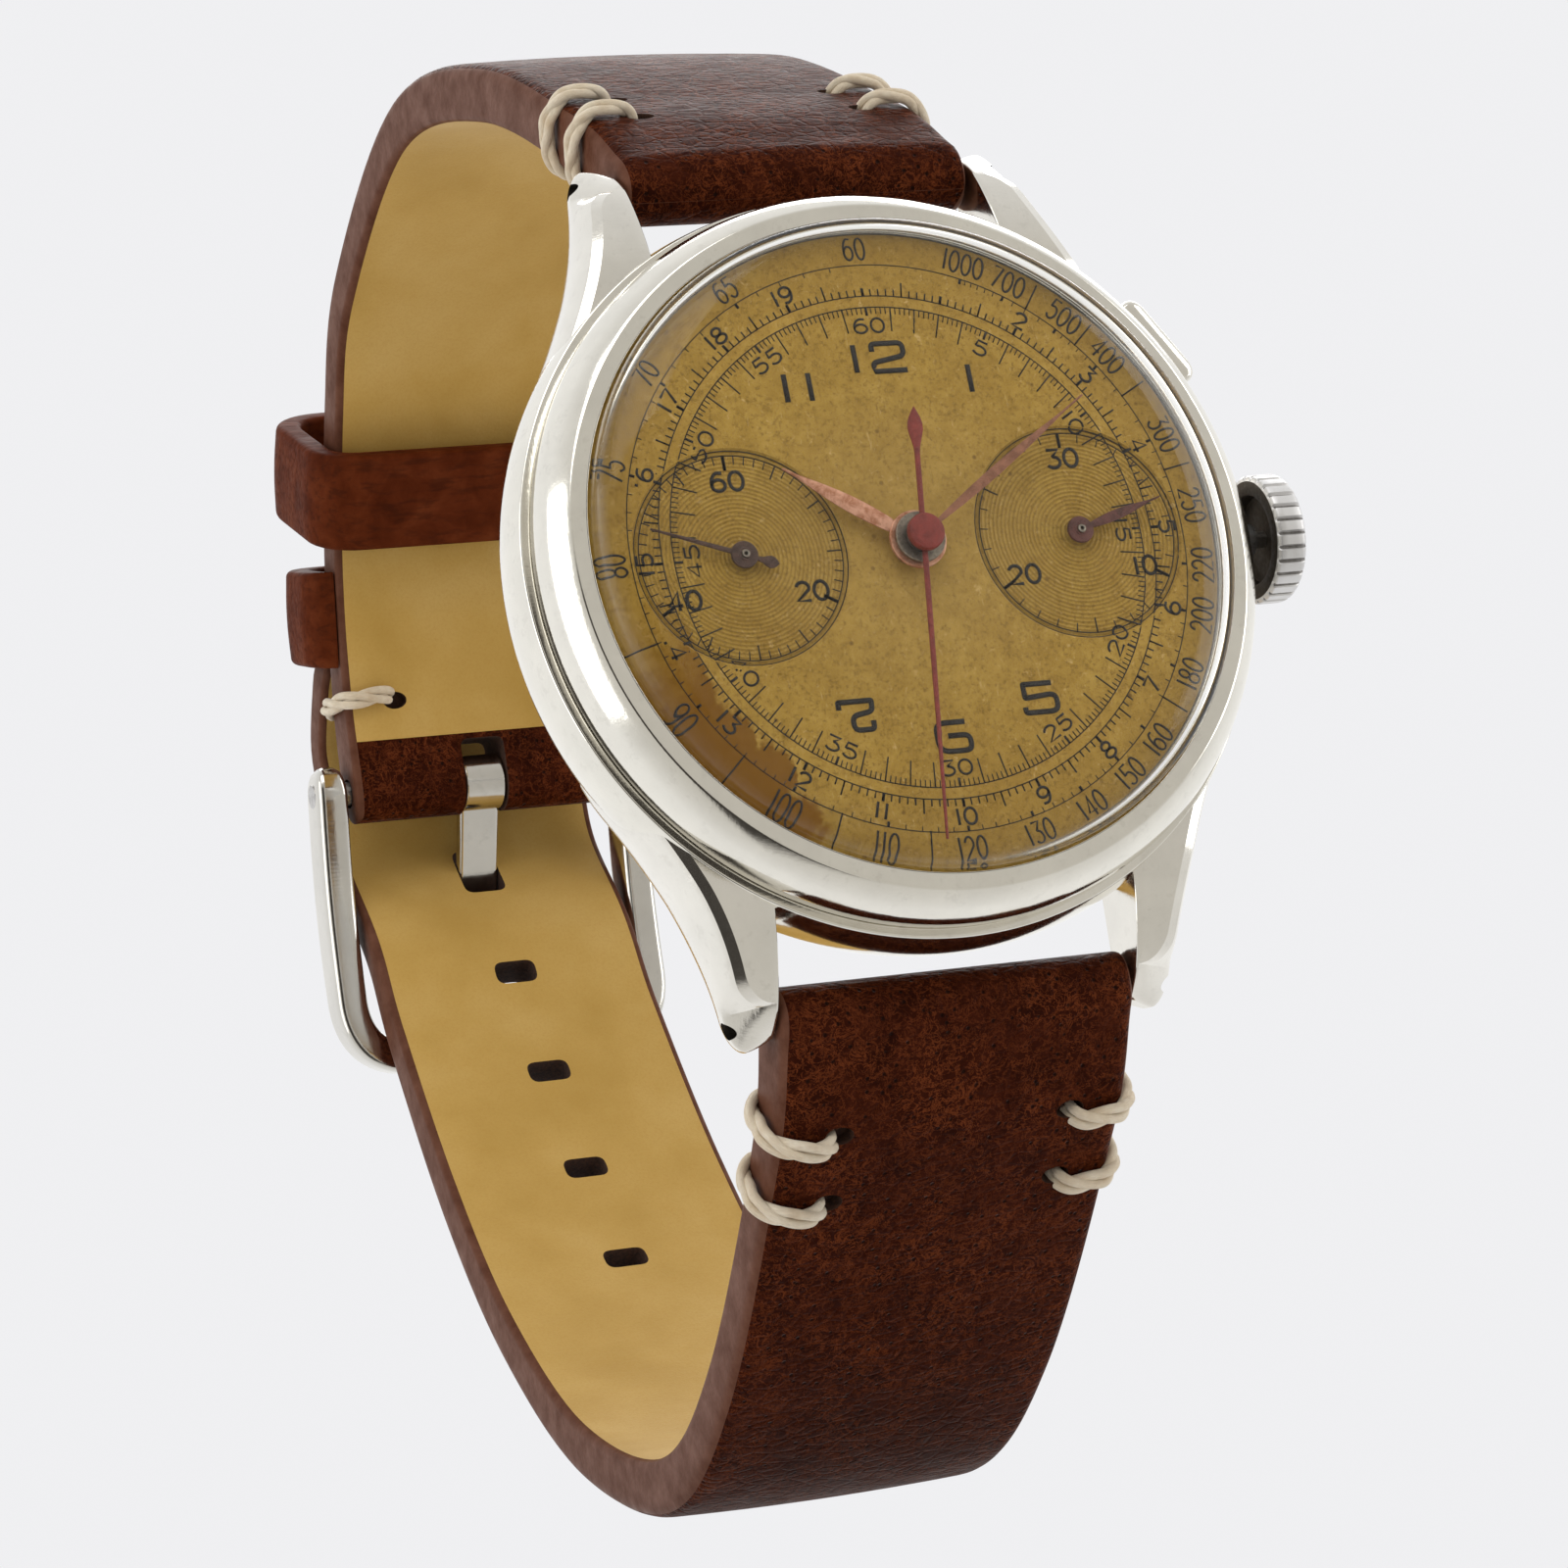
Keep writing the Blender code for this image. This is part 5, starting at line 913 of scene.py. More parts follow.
def make_back():
    """The back: a profile of skirt, rim, bevel and turned groove carried round the axis, less a notch."""
    skirt = BORE_RADIUS - FIT
    edge = COLLAR_RADIUS + 0.3
    corners = ((0.05, BACK_THICKNESS), (skirt - 0.5, BACK_THICKNESS), (skirt - 0.5, CASE_BOTTOM + 0.9),
               (skirt, CASE_BOTTOM + 0.9), (skirt, CASE_BOTTOM - FIT), (edge, CASE_BOTTOM - FIT),
               (edge, 0.85), (BACK_FLAT_RADIUS + 1.2, 0.25), (BACK_FLAT_RADIUS, 0.0),
               (12.6, 0.0), (12.5, 0.07), (12.2, 0.07), (12.1, 0.0), (0.05, 0.0))
    reach = (0, 0.1, 0.1, 0.1, 0.05, 0.06, 0.15, 0.3, 0.2, 0.03, 0.03, 0.03, 0.03, 0)
    notch = Skin()
    lip = eased(box(edge - 0.6, edge + 0.7, -1.6, 1.6), 0.1)
    level = np.array((CASE_BOTTOM - 0.34, CASE_BOTTOM + 0.2))[:, None]
    notch.add(np.stack(np.broadcast_arrays(lip[:, 0], lip[:, 1], level), axis=-1))
    back = Skin().add(lathe(eased(corners, reach, closed=False), 224))
    back.piece("back_cover", "case", [back_steel], ["case_back"], "polished_steel", 38, notch)


def dial_height(x, y):
    """The dial's surface: level, but sunk by the register depth inside either register's rim."""
    away = np.minimum(np.hypot(x - REGISTER_OFFSET, y), np.hypot(x + REGISTER_OFFSET, y))
    fall = np.clip((REGISTER_RADIUS + REGISTER_BEVEL - away) / REGISTER_BEVEL, 0, 1)
    return DIAL_TOP - REGISTER_DEPTH * fall


def make_dial():
    """The dial plate: a turned disc with a middle hole, less two dished registers with bevelled rims."""
    low = DIAL_TOP - DIAL_THICKNESS
    disc = eased(box(1.1, DIAL_RADIUS, DIAL_TOP, low), 0.03)
    plate = Skin().add(lathe(disc, 256), along=True)
    sunk = Skin()
    floor = DIAL_TOP - REGISTER_DEPTH
    rim = REGISTER_RADIUS + REGISTER_BEVEL
    dish = ((0.02, floor), (REGISTER_RADIUS - 0.1, floor), (REGISTER_RADIUS - 0.08, floor - 0.03),
            (REGISTER_RADIUS - 0.02, floor - 0.03), (REGISTER_RADIUS, floor), (rim, DIAL_TOP + 0.02),
            (rim, DIAL_TOP + 1), (0.02, DIAL_TOP + 1))
    for side in (-1, 1):
        sunk.add(lathe(dish, 160, (side * REGISTER_OFFSET, 0)))
    plate.piece("dial_plate", "case", [dial_finish], ["dial"], "dial", 25, sunk)


def arc(middle, radii, start, end, count):
    """Points of an ellipse's arc from one angle to another, in degrees anticlockwise from the right."""
    a = np.radians(np.linspace(start, end, count))
    return np.stack((middle[0] + radii[0] * np.cos(a), middle[1] + radii[1] * np.sin(a)), axis=-1)


def run(*parts):
    """Points and arcs joined into one stroke."""
    return np.concatenate([np.atleast_2d(np.asarray(p, float)) for p in parts])


# Strokes of the small and the hour figures, in a box one wide and one high
SIX = run((0.86, 0.97), arc((0.62, 0.42), (0.60, 0.58), 100, 178, 8),
          arc((0.5, 0.31), (0.48, 0.31), 178, 540, 24))
FIGURES = {
    "0": [arc((0.5, 0.5), (0.5, 0.5), 90, 450, 28)],
    "1": [np.array(((0.5, 0.0), (0.5, 1.0)))],
    "2": [run(arc((0.5, 0.70), (0.46, 0.30), 168, -22, 14), (0.02, 0.0), (1.0, 0.0))],
    "3": [run((0.06, 1.0), (0.94, 1.0), (0.44, 0.61), arc((0.47, 0.305), (0.5, 0.305), 88, -152, 16))],
    "4": [np.array(((0.74, 0.0), (0.74, 1.0), (0.02, 0.27), (1.0, 0.27)))],
    "5": [run((0.9, 1.0), (0.16, 1.0), (0.10, 0.57), arc((0.47, 0.32), (0.5, 0.32), 120, -150, 16))],
    "6": [SIX],
    "7": [np.array(((0.02, 1.0), (0.98, 1.0), (0.34, 0.0)))],
    "8": [arc((0.5, 0.755), (0.40, 0.245), -90, 270, 20), arc((0.5, 0.255), (0.5, 0.255), 90, 450, 22)],
    "9": [1.0 - SIX],
}
HOUR_FIGURES = {
    "1": [np.array(((0.5, 0.0), (0.5, 1.0)))],
    "2": [eased(((0.04, 0.72), (0.04, 1.0), (0.97, 1.0), (0.97, 0.52), (0.02, 0.32), (0.02, 0.0), (1.0, 0.0)),
                (0, 0.28, 0.34, 0.3, 0.2, 0.0, 0), closed=False, steps=8)],
    "5": [eased(((0.92, 1.0), (0.06, 1.0), (0.06, 0.52), (1.0, 0.62), (1.0, 0.0), (0.02, 0.0), (0.02, 0.2)),
                (0, 0.02, 0.05, 0.3, 0.3, 0.2, 0), closed=False, steps=8)],
    "6": [eased(((0.9, 1.0), (0.02, 1.0), (0.02, 0.0), (0.98, 0.0), (0.98, 0.54), (0.34, 0.54)),
                (0, 0.3, 0.36, 0.3, 0.22, 0), closed=False, steps=8)],
    "7": [eased(((0.02, 0.74), (0.02, 1.0), (1.0, 1.0), (0.98, 0.62), (0.38, 0.5), (0.38, 0.0), (0.96, 0.0),
                 (0.96, 0.3)), (0, 0.03, 0.05, 0.3, 0.25, 0.3, 0.3, 0), closed=False, steps=8)],
}


class Print:
    """Ink laid on the dial as thin raised strokes."""

    def __init__(self):
        self.skin = Skin()

    def slab(self, points, sides):
        """A stroke's four edges: its points moved to either side, below and above the dial's surface."""
        left, right = points + sides, points - sides
        level = dial_height(points[:, 0], points[:, 1])
        low, high = level - 0.02, level + INK_THICKNESS
        corners = ((left, low), (left, high), (right, high), (right, low))
        return np.stack([np.concatenate((p, z[:, None]), axis=1) for p, z in corners], axis=1)

    def stroke(self, points, width):
        """A line of a given width through points."""
        points = np.asarray(points, float)
        self.skin.add(self.slab(points, quarter_turn(heading(points)) * width / 2))

    def ring(self, radius, width, middle=(0.0, 0.0), steps=360):
        """A printed circle."""
        a = round_angles(steps)
        way = np.stack((np.cos(a), np.sin(a)), axis=-1)
        self.skin.add(self.slab(np.asarray(middle) + way * radius, way * width / 2), along=True)

    def ticks(self, degrees, inner, outer, width, middle=(0.0, 0.0)):
        """Straight marks along radii, at angles clockwise from 12."""
        for a in np.radians(np.atleast_1d(degrees)):
            way = np.array((np.sin(a), np.cos(a)))
            ends = np.asarray(middle) + way * np.array((inner, outer))[:, None]
            side = np.array((way[1], -way[0])) * width / 2
            self.skin.add(self.slab(ends, np.broadcast_to(side, ends.shape)))

    def number(self, text, place, turn, height, width, stroke, gap=0.32, figures=FIGURES):
        """Figures set side by side about a place, turned clockwise; a 1 takes less room than the rest."""
        advance = [0.42 if c == "1" else 1.0 for c in text]
        total = (sum(advance) + gap * (len(text) - 1)) * width
        left = -total / 2
        for c, room in zip(text, advance):
            for line in figures[c]:
                x = (line[:, 0] - 0.5 + room / 2) * width + left
                points = np.stack((x, (line[:, 1] - 0.5) * height), axis=-1)
                self.stroke(swung(points, turn, place), stroke)
            left += (room + gap) * width


def round_dial(radius, degrees):
    """A place on the dial by radius and angle clockwise from 12, and the turn that a figure takes there."""
    a = np.radians(degrees)
    turn = degrees if np.cos(a) > -1e-6 else degrees + 180
    return (radius * np.sin(a), radius * np.cos(a)), turn


def make_printing():
    """The seconds track, the two outer scales, the hour figures and the register scales."""
    ink_print = Print()
    fifths = np.arange(300)
    degrees = fifths * 1.2
    whole, fives = fifths % 5 == 0, fifths % 25 == 0
    ink_print.ring(SECONDS_TRACK, 0.05)
    ink_print.ticks(degrees[~whole], SECONDS_TRACK - 0.34, SECONDS_TRACK, 0.045)
    ink_print.ticks(degrees[whole & ~fives], SECONDS_TRACK - 1.2, SECONDS_TRACK, 0.065)
    ink_print.ticks(degrees[fives], SECONDS_TRACK - 0.42, SECONDS_TRACK, 0.12)
    for value in range(5, 65, 5):
        place, turn = round_dial(SECONDS_TRACK - 0.92, value * 6)
        ink_print.number(str(value), place, turn, 0.7, 0.66, FIGURE_STROKE)
    ink_print.ring(DISTANCE_TRACK, 0.05)
    units = np.arange(20) * 18.0
    ink_print.ticks(np.arange(200) * 1.8, DISTANCE_TRACK, DISTANCE_TRACK + 0.34, 0.065)
    ink_print.ticks(units, DISTANCE_TRACK, DISTANCE_TRACK + 0.4, 0.14)
    ink_print.ticks(units + 9, DISTANCE_TRACK, DISTANCE_TRACK + 0.72, 0.075)
    for value in range(2, 20):
        place, turn = round_dial(DISTANCE_TRACK + 0.86, value * 18)
        ink_print.number(str(value), place, turn, 0.78, 0.6, 0.13)
    make_speed_scale(ink_print)
    for text, x, y in (("12", 0.05, 9.3), ("11", -4.2, 8.05), ("1", 4.6, 8.0),
                       ("5", 4.85, -7.95), ("6", 0.15, -9.45), ("7", -4.45, -8.05)):
        ink_print.number(text, (x, y), 0, 1.38, 1.7, 0.26, 0.3, HOUR_FIGURES)
    make_register_scales(ink_print)
    ink_print.skin.piece("dial_printing", "case", [ink], (), "dial")


def make_speed_scale(ink_print):
    """The outer scale: a mark for each value stands at 60 / value of a turn."""
    full = SPEED_AT_FULL_TURN * 360.0
    ink_print.ring(SPEED_TRACK, 0.045)
    steps = ((60, 100, 1), (100, 150, 2), (150, 200, 5), (200, 300, 10), (300, 500, 20), (500, 1000, 50))
    values = np.concatenate([np.arange(a, b, s) for a, b, s in steps])
    ink_print.ticks(full / values[1:], SPEED_TRACK - 0.24, SPEED_TRACK, 0.04)
    named = np.array((65, 70, 75, 80, 90, 100, 110, 120, 130, 140, 150, 160, 180, 200, 220, 250, 300, 400,
                      500, 700, 1000))
    ink_print.ticks(full / named, SPEED_TRACK - 0.26, SPEED_TRACK, 0.13)
    parting = np.array((600, 450, 350, 275, 170, 115, 105, 95, 85))
    ink_print.ticks(full / parting, SPEED_TRACK - 0.05, SPEED_TRACK + 1.5, 0.08)
    for value in (SPEED_AT_FULL_TURN, *named.tolist()):
        place, turn = round_dial(SPEED_TRACK + 0.86, full / value % 360)
        ink_print.number(str(value), place, turn, 1.16, 0.45, FIGURE_STROKE, 0.36)


def make_register_scales(ink_print):
    """Small seconds at 9 and the minute counter at 3: a rim track, its marks and three upright figures."""
    for side, count, named in ((-1, 60, ("60", "20", "40")), (1, 30, ("30", "10", "20"))):
        middle = (side * REGISTER_OFFSET, 0.0)
        outer = REGISTER_RADIUS - 0.22
        ink_print.ring(REGISTER_RADIUS + 0.02, 0.06, middle, 160)
        ink_print.ring(outer, 0.05, middle, 160)
        angles = np.arange(count) * 360.0 / count
        fives = np.arange(count) % 5 == 0
        ink_print.ticks(angles[~fives], outer - 0.42, outer, 0.05, middle)
        ink_print.ticks(angles[fives], outer - 0.72, outer, 0.07, middle)
        thirds = (0.0, 120.0, 240.0)
        ink_print.ticks(thirds, outer - 0.72, outer, 0.16, middle)
        for text, a in zip(named, np.radians(thirds)):
            place = (middle[0] + (outer - 1.35) * np.sin(a), middle[1] + (outer - 1.25) * np.cos(a))
            ink_print.number(text, place, 0, 0.9, 0.68, 0.165)


def blade(stations, halves, low, high, crown):
    """A hand's blade along y: a flat underside and a top that falls by crown f^2, f = -1 to 1 across."""
    f = np.linspace(-1, 1, 9)
    stations = np.asarray(stations, float)[:, None]
    halves = np.asarray(halves, float)[:, None]
    x = np.concatenate((f * halves, -f * halves), axis=1)
    z = np.concatenate((high - crown * f ** 2 + 0 * halves, low + 0 * f + 0 * halves), axis=1)
    return np.stack((x, np.broadcast_to(stations, x.shape), z), axis=-1)


def leaf(start, length, root, widest, tip):
    """Stations and half widths of a leaf: a straight taper from root to tip plus a sine swell."""
    share = np.linspace(0, 1, 44)
    swell = np.sin(np.pi * np.minimum(share * 1.15, 1) ** 0.9)
    return start + (length - start) * share, root * (1 - share) + tip * share + (widest - root) * swell


def boss(outer, inner, low, high, soft):
    """The ring profile of a hand's hub with eased edges."""
    return eased(box(inner, outer, low, high), soft)


def make_middle_hands():
    """Hour and minute leaves and the chronograph's needle, on turned hubs, swung to where they rest."""
    hour = Skin()
    hour_leaf = blade(*leaf(1.2, 7.2, 0.3, 0.5, 0.05), HOUR_LEVEL, HOUR_LEVEL + 0.12, 0.06)
    hour.add(swung(hour_leaf, HOUR_AT_REST))
    hour.add(lathe(boss(1.42, 1.05, HOUR_LEVEL - 0.02, HOUR_LEVEL + 0.16, 0.05), 64), along=True)
    hour.piece("hour_leaf", "hours", [copper], ["hour_hand"], "copper", 35)
    minute = Skin()
    minute_leaf = blade(*leaf(0.9, 11.7, 0.08, 0.26, 0.05), MINUTE_LEVEL, MINUTE_LEVEL + 0.12, 0.04)
    minute.add(swung(minute_leaf, MINUTE_AT_REST))
    collar = boss(1.24, 0.63, MINUTE_LEVEL - 0.02, MINUTE_LEVEL + 0.18, 0.05)
    minute.add(lathe(collar, 64), along=True, slots=1)
    minute.piece("minute_leaf", "minutes", [russet, boss_steel], ["minute_hand"], "copper", 35)
    chrono = Skin()
    y = np.array((-6.3, -6.1, -5.8, -5.5, -5.2, -4.9, -4.6, -4.3, -4.0, -2.6, 0.0, 3.0, 7.0, 11.0, 14.7))
    half = np.array((0.02, 0.13, 0.28, 0.37, 0.38, 0.32, 0.23, 0.16, 0.13, 0.13, 0.13, 0.13, 0.12, 0.09,
                     0.055))
    chrono.add(swung(blade(y, half, CHRONO_LEVEL, CHRONO_LEVEL + 0.1, 0.03), CHRONO_AT_REST))
    neck = eased(((0.02, 9.0), (0.8, 9.0), (0.8, 9.12), (0.72, 9.16), (0.72, 9.28), (0.8, 9.32), (0.8, 9.5),
                  (0.02, 9.5)), (0, 0.03, 0.03, 0.02, 0.02, 0.03, 0.03, 0), closed=False)
    # the neck under the cap takes the near-black steel as painted shade
    chrono.add(lathe(neck, 48), slots=1)
    cap = eased(((0.02, 9.46), (0.9, 9.46), (0.9, 9.82), (0.66, 9.88), (0.02, 9.9)), (0, 0.05, 0.1, 0.1, 0),
                closed=False)
    chrono.add(lathe(cap, 72))
    chrono.piece("chrono_needle", "chrono_seconds", [red_lacquer, recess_shade], ["chrono_seconds_hand"],
                 "red", 35)


def make_register_hands():
    """The small seconds needle and the minute counter's leaf, each on a stepped hub with a pin."""
    y = np.array((-1.7, -1.6, -1.45, -1.3, -1.1, -0.9, -0.6, 0.0, 0.6, 2.0, 3.5, 4.6))
    half = np.array((0.03, 0.17, 0.27, 0.3, 0.24, 0.14, 0.1, 0.1, 0.12, 0.1, 0.07, 0.04))
    needle = blade(y, half, REGISTER_HAND_LEVEL, REGISTER_HAND_LEVEL + 0.1, 0.03)
    counter = blade(*leaf(0.4, 4.6, 0.1, 0.27, 0.04), REGISTER_HAND_LEVEL, REGISTER_HAND_LEVEL + 0.12, 0.04)
    hub = eased(((0.02, 8.12), (0.66, 8.12), (0.66, 8.28), (0.34, 8.31), (0.3, 8.36), (0.02, 8.36)),
                (0, 0.04, 0.06, 0.02, 0.02, 0), closed=False)
    pin = boss(0.2, 0.09, 8.25, 8.44, 0.03)
    for name, body, node, side, shape, degrees, finish in (
            ("small_seconds_needle", "running_seconds", "small_seconds_hand", -1, needle,
             SMALL_SECONDS_AT_REST, dark_hand),
            ("counter_leaf", "minute_counter", "minute_counter_hand", 1, counter, COUNTER_AT_REST, plum)):
        middle = (side * REGISTER_OFFSET, 0.0)
        skin = Skin().add(swung(shape, degrees, middle))
        skin.add(lathe(hub, 40, middle))
        skin.add(lathe(pin, 24, middle), along=True, slots=1)
        skin.piece(name, body, [finish, boss_steel], [node], "copper", 35)


def make_crown():
    """The crown: a turned profile about the stem, its rim cut by flutes that fade at both ends, with painted
    shade in the flutes' bottoms and on its hollow inner face.

    The profile's rows are a place along the stem, a share of the radius and a share of the flutes' depth.
    The radius is the profile's less a depth times ((cos 28a - 0.6) / 0.4)^0.6, where that is above zero.
    """
    profile = np.array(((0.72, 0.01, 0), (0.72, 0.62, 0), (0.66, 0.68, 0), (0.04, 0.70, 0), (0.0, 0.72, 0),
                        (0.0, 0.92, 0), (0.03, 0.95, 0.3), (0.09, 0.985, 0.9), (0.16, 1.0, 1), (0.5, 1.0, 1),
                        (0.9, 1.0, 1), (1.25, 1.0, 1), (1.4, 0.985, 0.95), (1.5, 0.955, 0.7),
                        (1.58, 0.91, 0.35), (1.65, 0.84, 0.05), (1.71, 0.72, 0), (1.755, 0.5, 0),
                        (1.78, 0.25, 0), (1.79, 0.01, 0)))
    angle = round_angles(CROWN_FLUTES * 16)
    groove = np.clip((np.cos(CROWN_FLUTES * angle) - 0.6) / 0.4, 0, 1) ** 0.6
    radius = profile[:, 1:2] * CROWN_RADIUS - FLUTE_DEPTH * profile[:, 2:] * groove
    x = np.broadcast_to(CROWN_INNER + profile[:, :1], radius.shape)
    grid = np.stack((x, radius * np.cos(angle), CROWN_HEIGHT + radius * np.sin(angle)), axis=-1)
    # the flutes' deep bottoms take a darker grey steel and the hollow inner face the near-black steel, both
    # as painted shade
    slots = 2 * ((profile[:-1, 2:] > 0.4) & (groove > 0.8))
    slots[:5] = 1
    crown = Skin().add(grid, slots=slots)
    crown.piece("fluted_crown", "crown_and_stem", [grey_steel, recess_shade, flute_shade_and_grime], ["crown"],
                "worn_steel", 45)


def make_pusher():
    """The pusher's head on its stem: a rounded rectangle carried outwards.

    Over its end it is drawn in by 1 - cos s while it goes out by sin s.
    """
    s = np.linspace(0, np.pi / 2, 10)
    out = np.concatenate(((CASE_RADIUS - 0.45, CASE_RADIUS + 0.2), PUSHER_OUTER - 0.75 + 0.75 * np.sin(s)))
    close = np.concatenate(((0, 0), 1 - np.cos(s)))
    wide = PUSHER_WIDTH / 2 - 0.85 * close
    thick = PUSHER_THICKNESS / 2 - 0.5 * close
    sections = np.stack([eased(box(-w, w, -t, t), 0.42) for w, t in zip(wide, thick)])
    head = Skin().add(along_pusher(out, sections))
    head.add(along_pusher((12.0, CASE_RADIUS), arc((0, 0), (0.45, 0.45), 0, 352.5, 48)))
    head.piece("pusher_head", "chrono_pusher", [case_steel], ["pusher"], "polished_steel", 40)


def watch_points(x, plane):
    """Watch points from x and places (y, z) in the plane that the strap bends in."""
    return np.concatenate((x[..., None], plane), axis=-1)


class StrapLine:
    """A strap's middle line in the plane (y, z), with its way outwards; it runs straight on past its ends."""

    def __init__(self, points, outward):
        curve = smooth_curve(points, 40)
        self.length = np.linalg.norm(np.diff(curve, axis=0), axis=1).sum()
        self.points = evenly(curve, 1200)
        self.places = np.linspace(0, self.length, len(self.points))
        self.ahead = heading(self.points)
        self.outward = outward

    def at(self, distance):
        """Place, way forward and way out at distances along the line."""
        distance = np.asarray(distance, float)
        inside = np.clip(distance, 0, self.length)
        place = np.stack([np.interp(inside, self.places, c) for c in self.points.T], axis=-1)
        ahead = unit(np.stack([np.interp(inside, self.places, c) for c in self.ahead.T], axis=-1))
        place = place + ahead * (distance - inside)[..., None]
        return place, ahead, quarter_turn(ahead) * self.outward

    def spot(self, distance, across, out):
        """Watch points from lengths along the strap, places across it and heights off its middle."""
        distance, across, out = np.broadcast_arrays(np.asarray(distance, float), across, out)
        place, _, normal = self.at(distance)
        return watch_points(across, place + normal * out[..., None])


def strap_points(route, side):
    """Places of the middle line from shares of the loop's depth and rise."""
    route = np.asarray(route, float)
    rise = side * (BAR_Y + route[:, 1] * LOOP_RISE)
    return np.stack((rise, BAR_HEIGHT - route[:, 0] * LOOP_DEPTH), axis=-1)


short_line = StrapLine(strap_points(SHORT_ROUTE, 1), 1)
tail_route = np.asarray(TAIL_ROUTE, float)
tail_place, _, tail_out = short_line.at(short_line.length - tail_route[:, 0])
long_line = StrapLine(np.concatenate((strap_points(LONG_ROUTE, -1),
                                      tail_place + tail_out * LAYER_OFFSET * tail_route[:, 1:])), -1)


def long_distance_near(radius):
    """Length along the long strap's second half where it first comes within a radius of the buckle's bar."""
    bar = short_line.at(short_line.length)[0]
    places = np.arange(long_line.length / 2, long_line.length, SEARCH_STEP)
    away = np.linalg.norm(long_line.at(places)[0] - bar, axis=1)
    return places[np.argmax(away < radius)]


tongue_at = long_distance_near(TONGUE_HOLE_FROM_BAR)
frame_end_at = long_distance_near(BUCKLE_LENGTH)


def half_width(line, distance):
    """Half a strap's width: a straight taper over the first three quarters of its length."""
    share = np.clip(np.asarray(distance, float) / (line.length * 0.75), 0, 1)
    return (STRAP_WIDTH + (STRAP_END_WIDTH - STRAP_WIDTH) * share) / 2


def strap_loops(wide, thick):
    """Sections of a strap, one row for each half width and half thickness.

    The grain face is crowned by 1 - f^2; it meets the sides in parabolas wide - R s^2,
    thick - R (1 - s)^2, and the lining face meets them in tighter ones.
    """
    wide, thick = np.asarray(wide)[:, None], np.asarray(thick)[:, None]
    big = np.minimum(0.95, thick * 0.62)
    small = np.minimum(0.4, thick * 0.4)
    s = np.linspace(0, 1, 7)
    q = np.linspace(0, 1, 5)
    f = np.linspace(1, -1, 13)[1:-1]
    g = np.linspace(-1, 1, 11)[1:-1]
    lift = STRAP_CROWN * thick / 1.5
    grain_x = (wide - big * s ** 2, f * (wide - big), -(wide - big * (1 - s) ** 2))
    grain_z = (thick - big * (1 - s) ** 2, thick + lift * (1 - f ** 2), thick - big * s ** 2)
    lining_x = (-wide, -(wide - small * q ** 2), g * (wide - small), wide - small * (1 - q) ** 2, wide)
    lining_z = (0 * wide, -(thick - small * (1 - q) ** 2), -thick + 0 * g * wide, -(thick - small * q ** 2),
                0 * wide)
    return np.concatenate(grain_x + lining_x, axis=1), np.concatenate(grain_z + lining_z, axis=1)


def strap_slots(rows, folded):
    """Grain, painted edge and lining by section side; a folded row shows grain on its lining side."""
    sides = np.full(SECTION_POINTS, EDGE)
    sides[GRAIN_POINTS] = GRAIN
    sides[LINING_POINTS] = LINING
    slots = np.tile(sides, (rows, 1))
    slots[np.ix_(folded[:rows], sides == LINING)] = GRAIN
    return slots


def nose():
    """Lengths past the bar and shares of thickness of a strap's half-round folded end, from its tip in."""
    a = np.radians(np.linspace(89.6, 5, NOSE_STEPS))
    return np.sin(a) * STRAP_FOLD_THICKNESS / 2, np.cos(a)


def hole_cutter(cutters, line, distance, outline, low, high):
    """A prism through a strap: an outline (across, along) carried from one height to another."""
    place, ahead, normal = line.at(distance)
    out = np.array((low, high))[:, None, None]
    inplane = place + ahead * outline[:, 1:] + normal * out
    across = np.broadcast_to(outline[:, 0], (2, len(outline)))
    cutters.add(watch_points(across, inplane), slots=RAW)


def stitch_places():
    """Each pair of stitches: its line, its length along it, and the place and number that name it."""
    rows = [STITCH_START + STITCH_SPACING * i for i in range(2)]
    places = [(short_line, row, "upper", i + 1) for i, row in enumerate(rows)]
    places += [(long_line, row, "lower", i + 1) for i, row in enumerate(rows)]
    return places + [(short_line, short_line.length - BUCKLE_STITCH, "buckle", 1)]


def fold_thickness(line, distance, both_ends):
    """A strap's thickness, swelling evenly towards a folded end."""
    near = np.minimum(distance, line.length - distance) if both_ends else distance
    swell = np.clip(1 - near / FOLD_SWELL, 0, 1)
    return STRAP_THICKNESS + (STRAP_FOLD_THICKNESS - STRAP_THICKNESS) * swell


def stitch_holes(cutters, chosen, both_ends):
    """Awl holes where the threads go in, on both faces of a strap."""
    slit = arc((0, 0), (0.72, 0.5), 0, 345, 24)
    for line, distance, _, _ in stitch_places():
        if line is chosen:
            thick = float(fold_thickness(line, distance, both_ends)) / 2
            inset = float(half_width(line, distance)) - STITCH_INSET
            for side in (-1, 1):
                for face in (-1, 1):
                    ends = sorted((face * (thick - 0.7), face * (thick + 0.6)))
                    hole_cutter(cutters, line, distance, slit + (side * inset, 0), *ends)


def strap_skin(line, body, wide, thick, both_ends):
    """Sections along a strap's line, with a half-round nose about the bar at its start or at both ends."""
    past, share = nose()
    narrow = 0.25 * (1 - share)
    distance = np.concatenate((-past, body))
    wide = np.concatenate((wide[0] - narrow, wide))
    thick = np.concatenate((share * thick[0], thick))
    if both_ends:
        distance = np.concatenate((distance, (line.length + past)[::-1]))
        wide = np.concatenate((wide, (wide[-1] - narrow)[::-1]))
        thick = np.concatenate((thick, (share * thick[-1])[::-1]))
    across, out = strap_loops(wide, thick)
    folded = (distance < FOLD_SHOWS) | (both_ends & (distance > line.length - BUCKLE_FOLD_SHOWS))
    slots = strap_slots(len(distance) - 1, folded)
    if not both_ends:
        slots[-1] = EDGE
    return Skin().add(line.spot(distance[:, None], across, out), slots=slots)


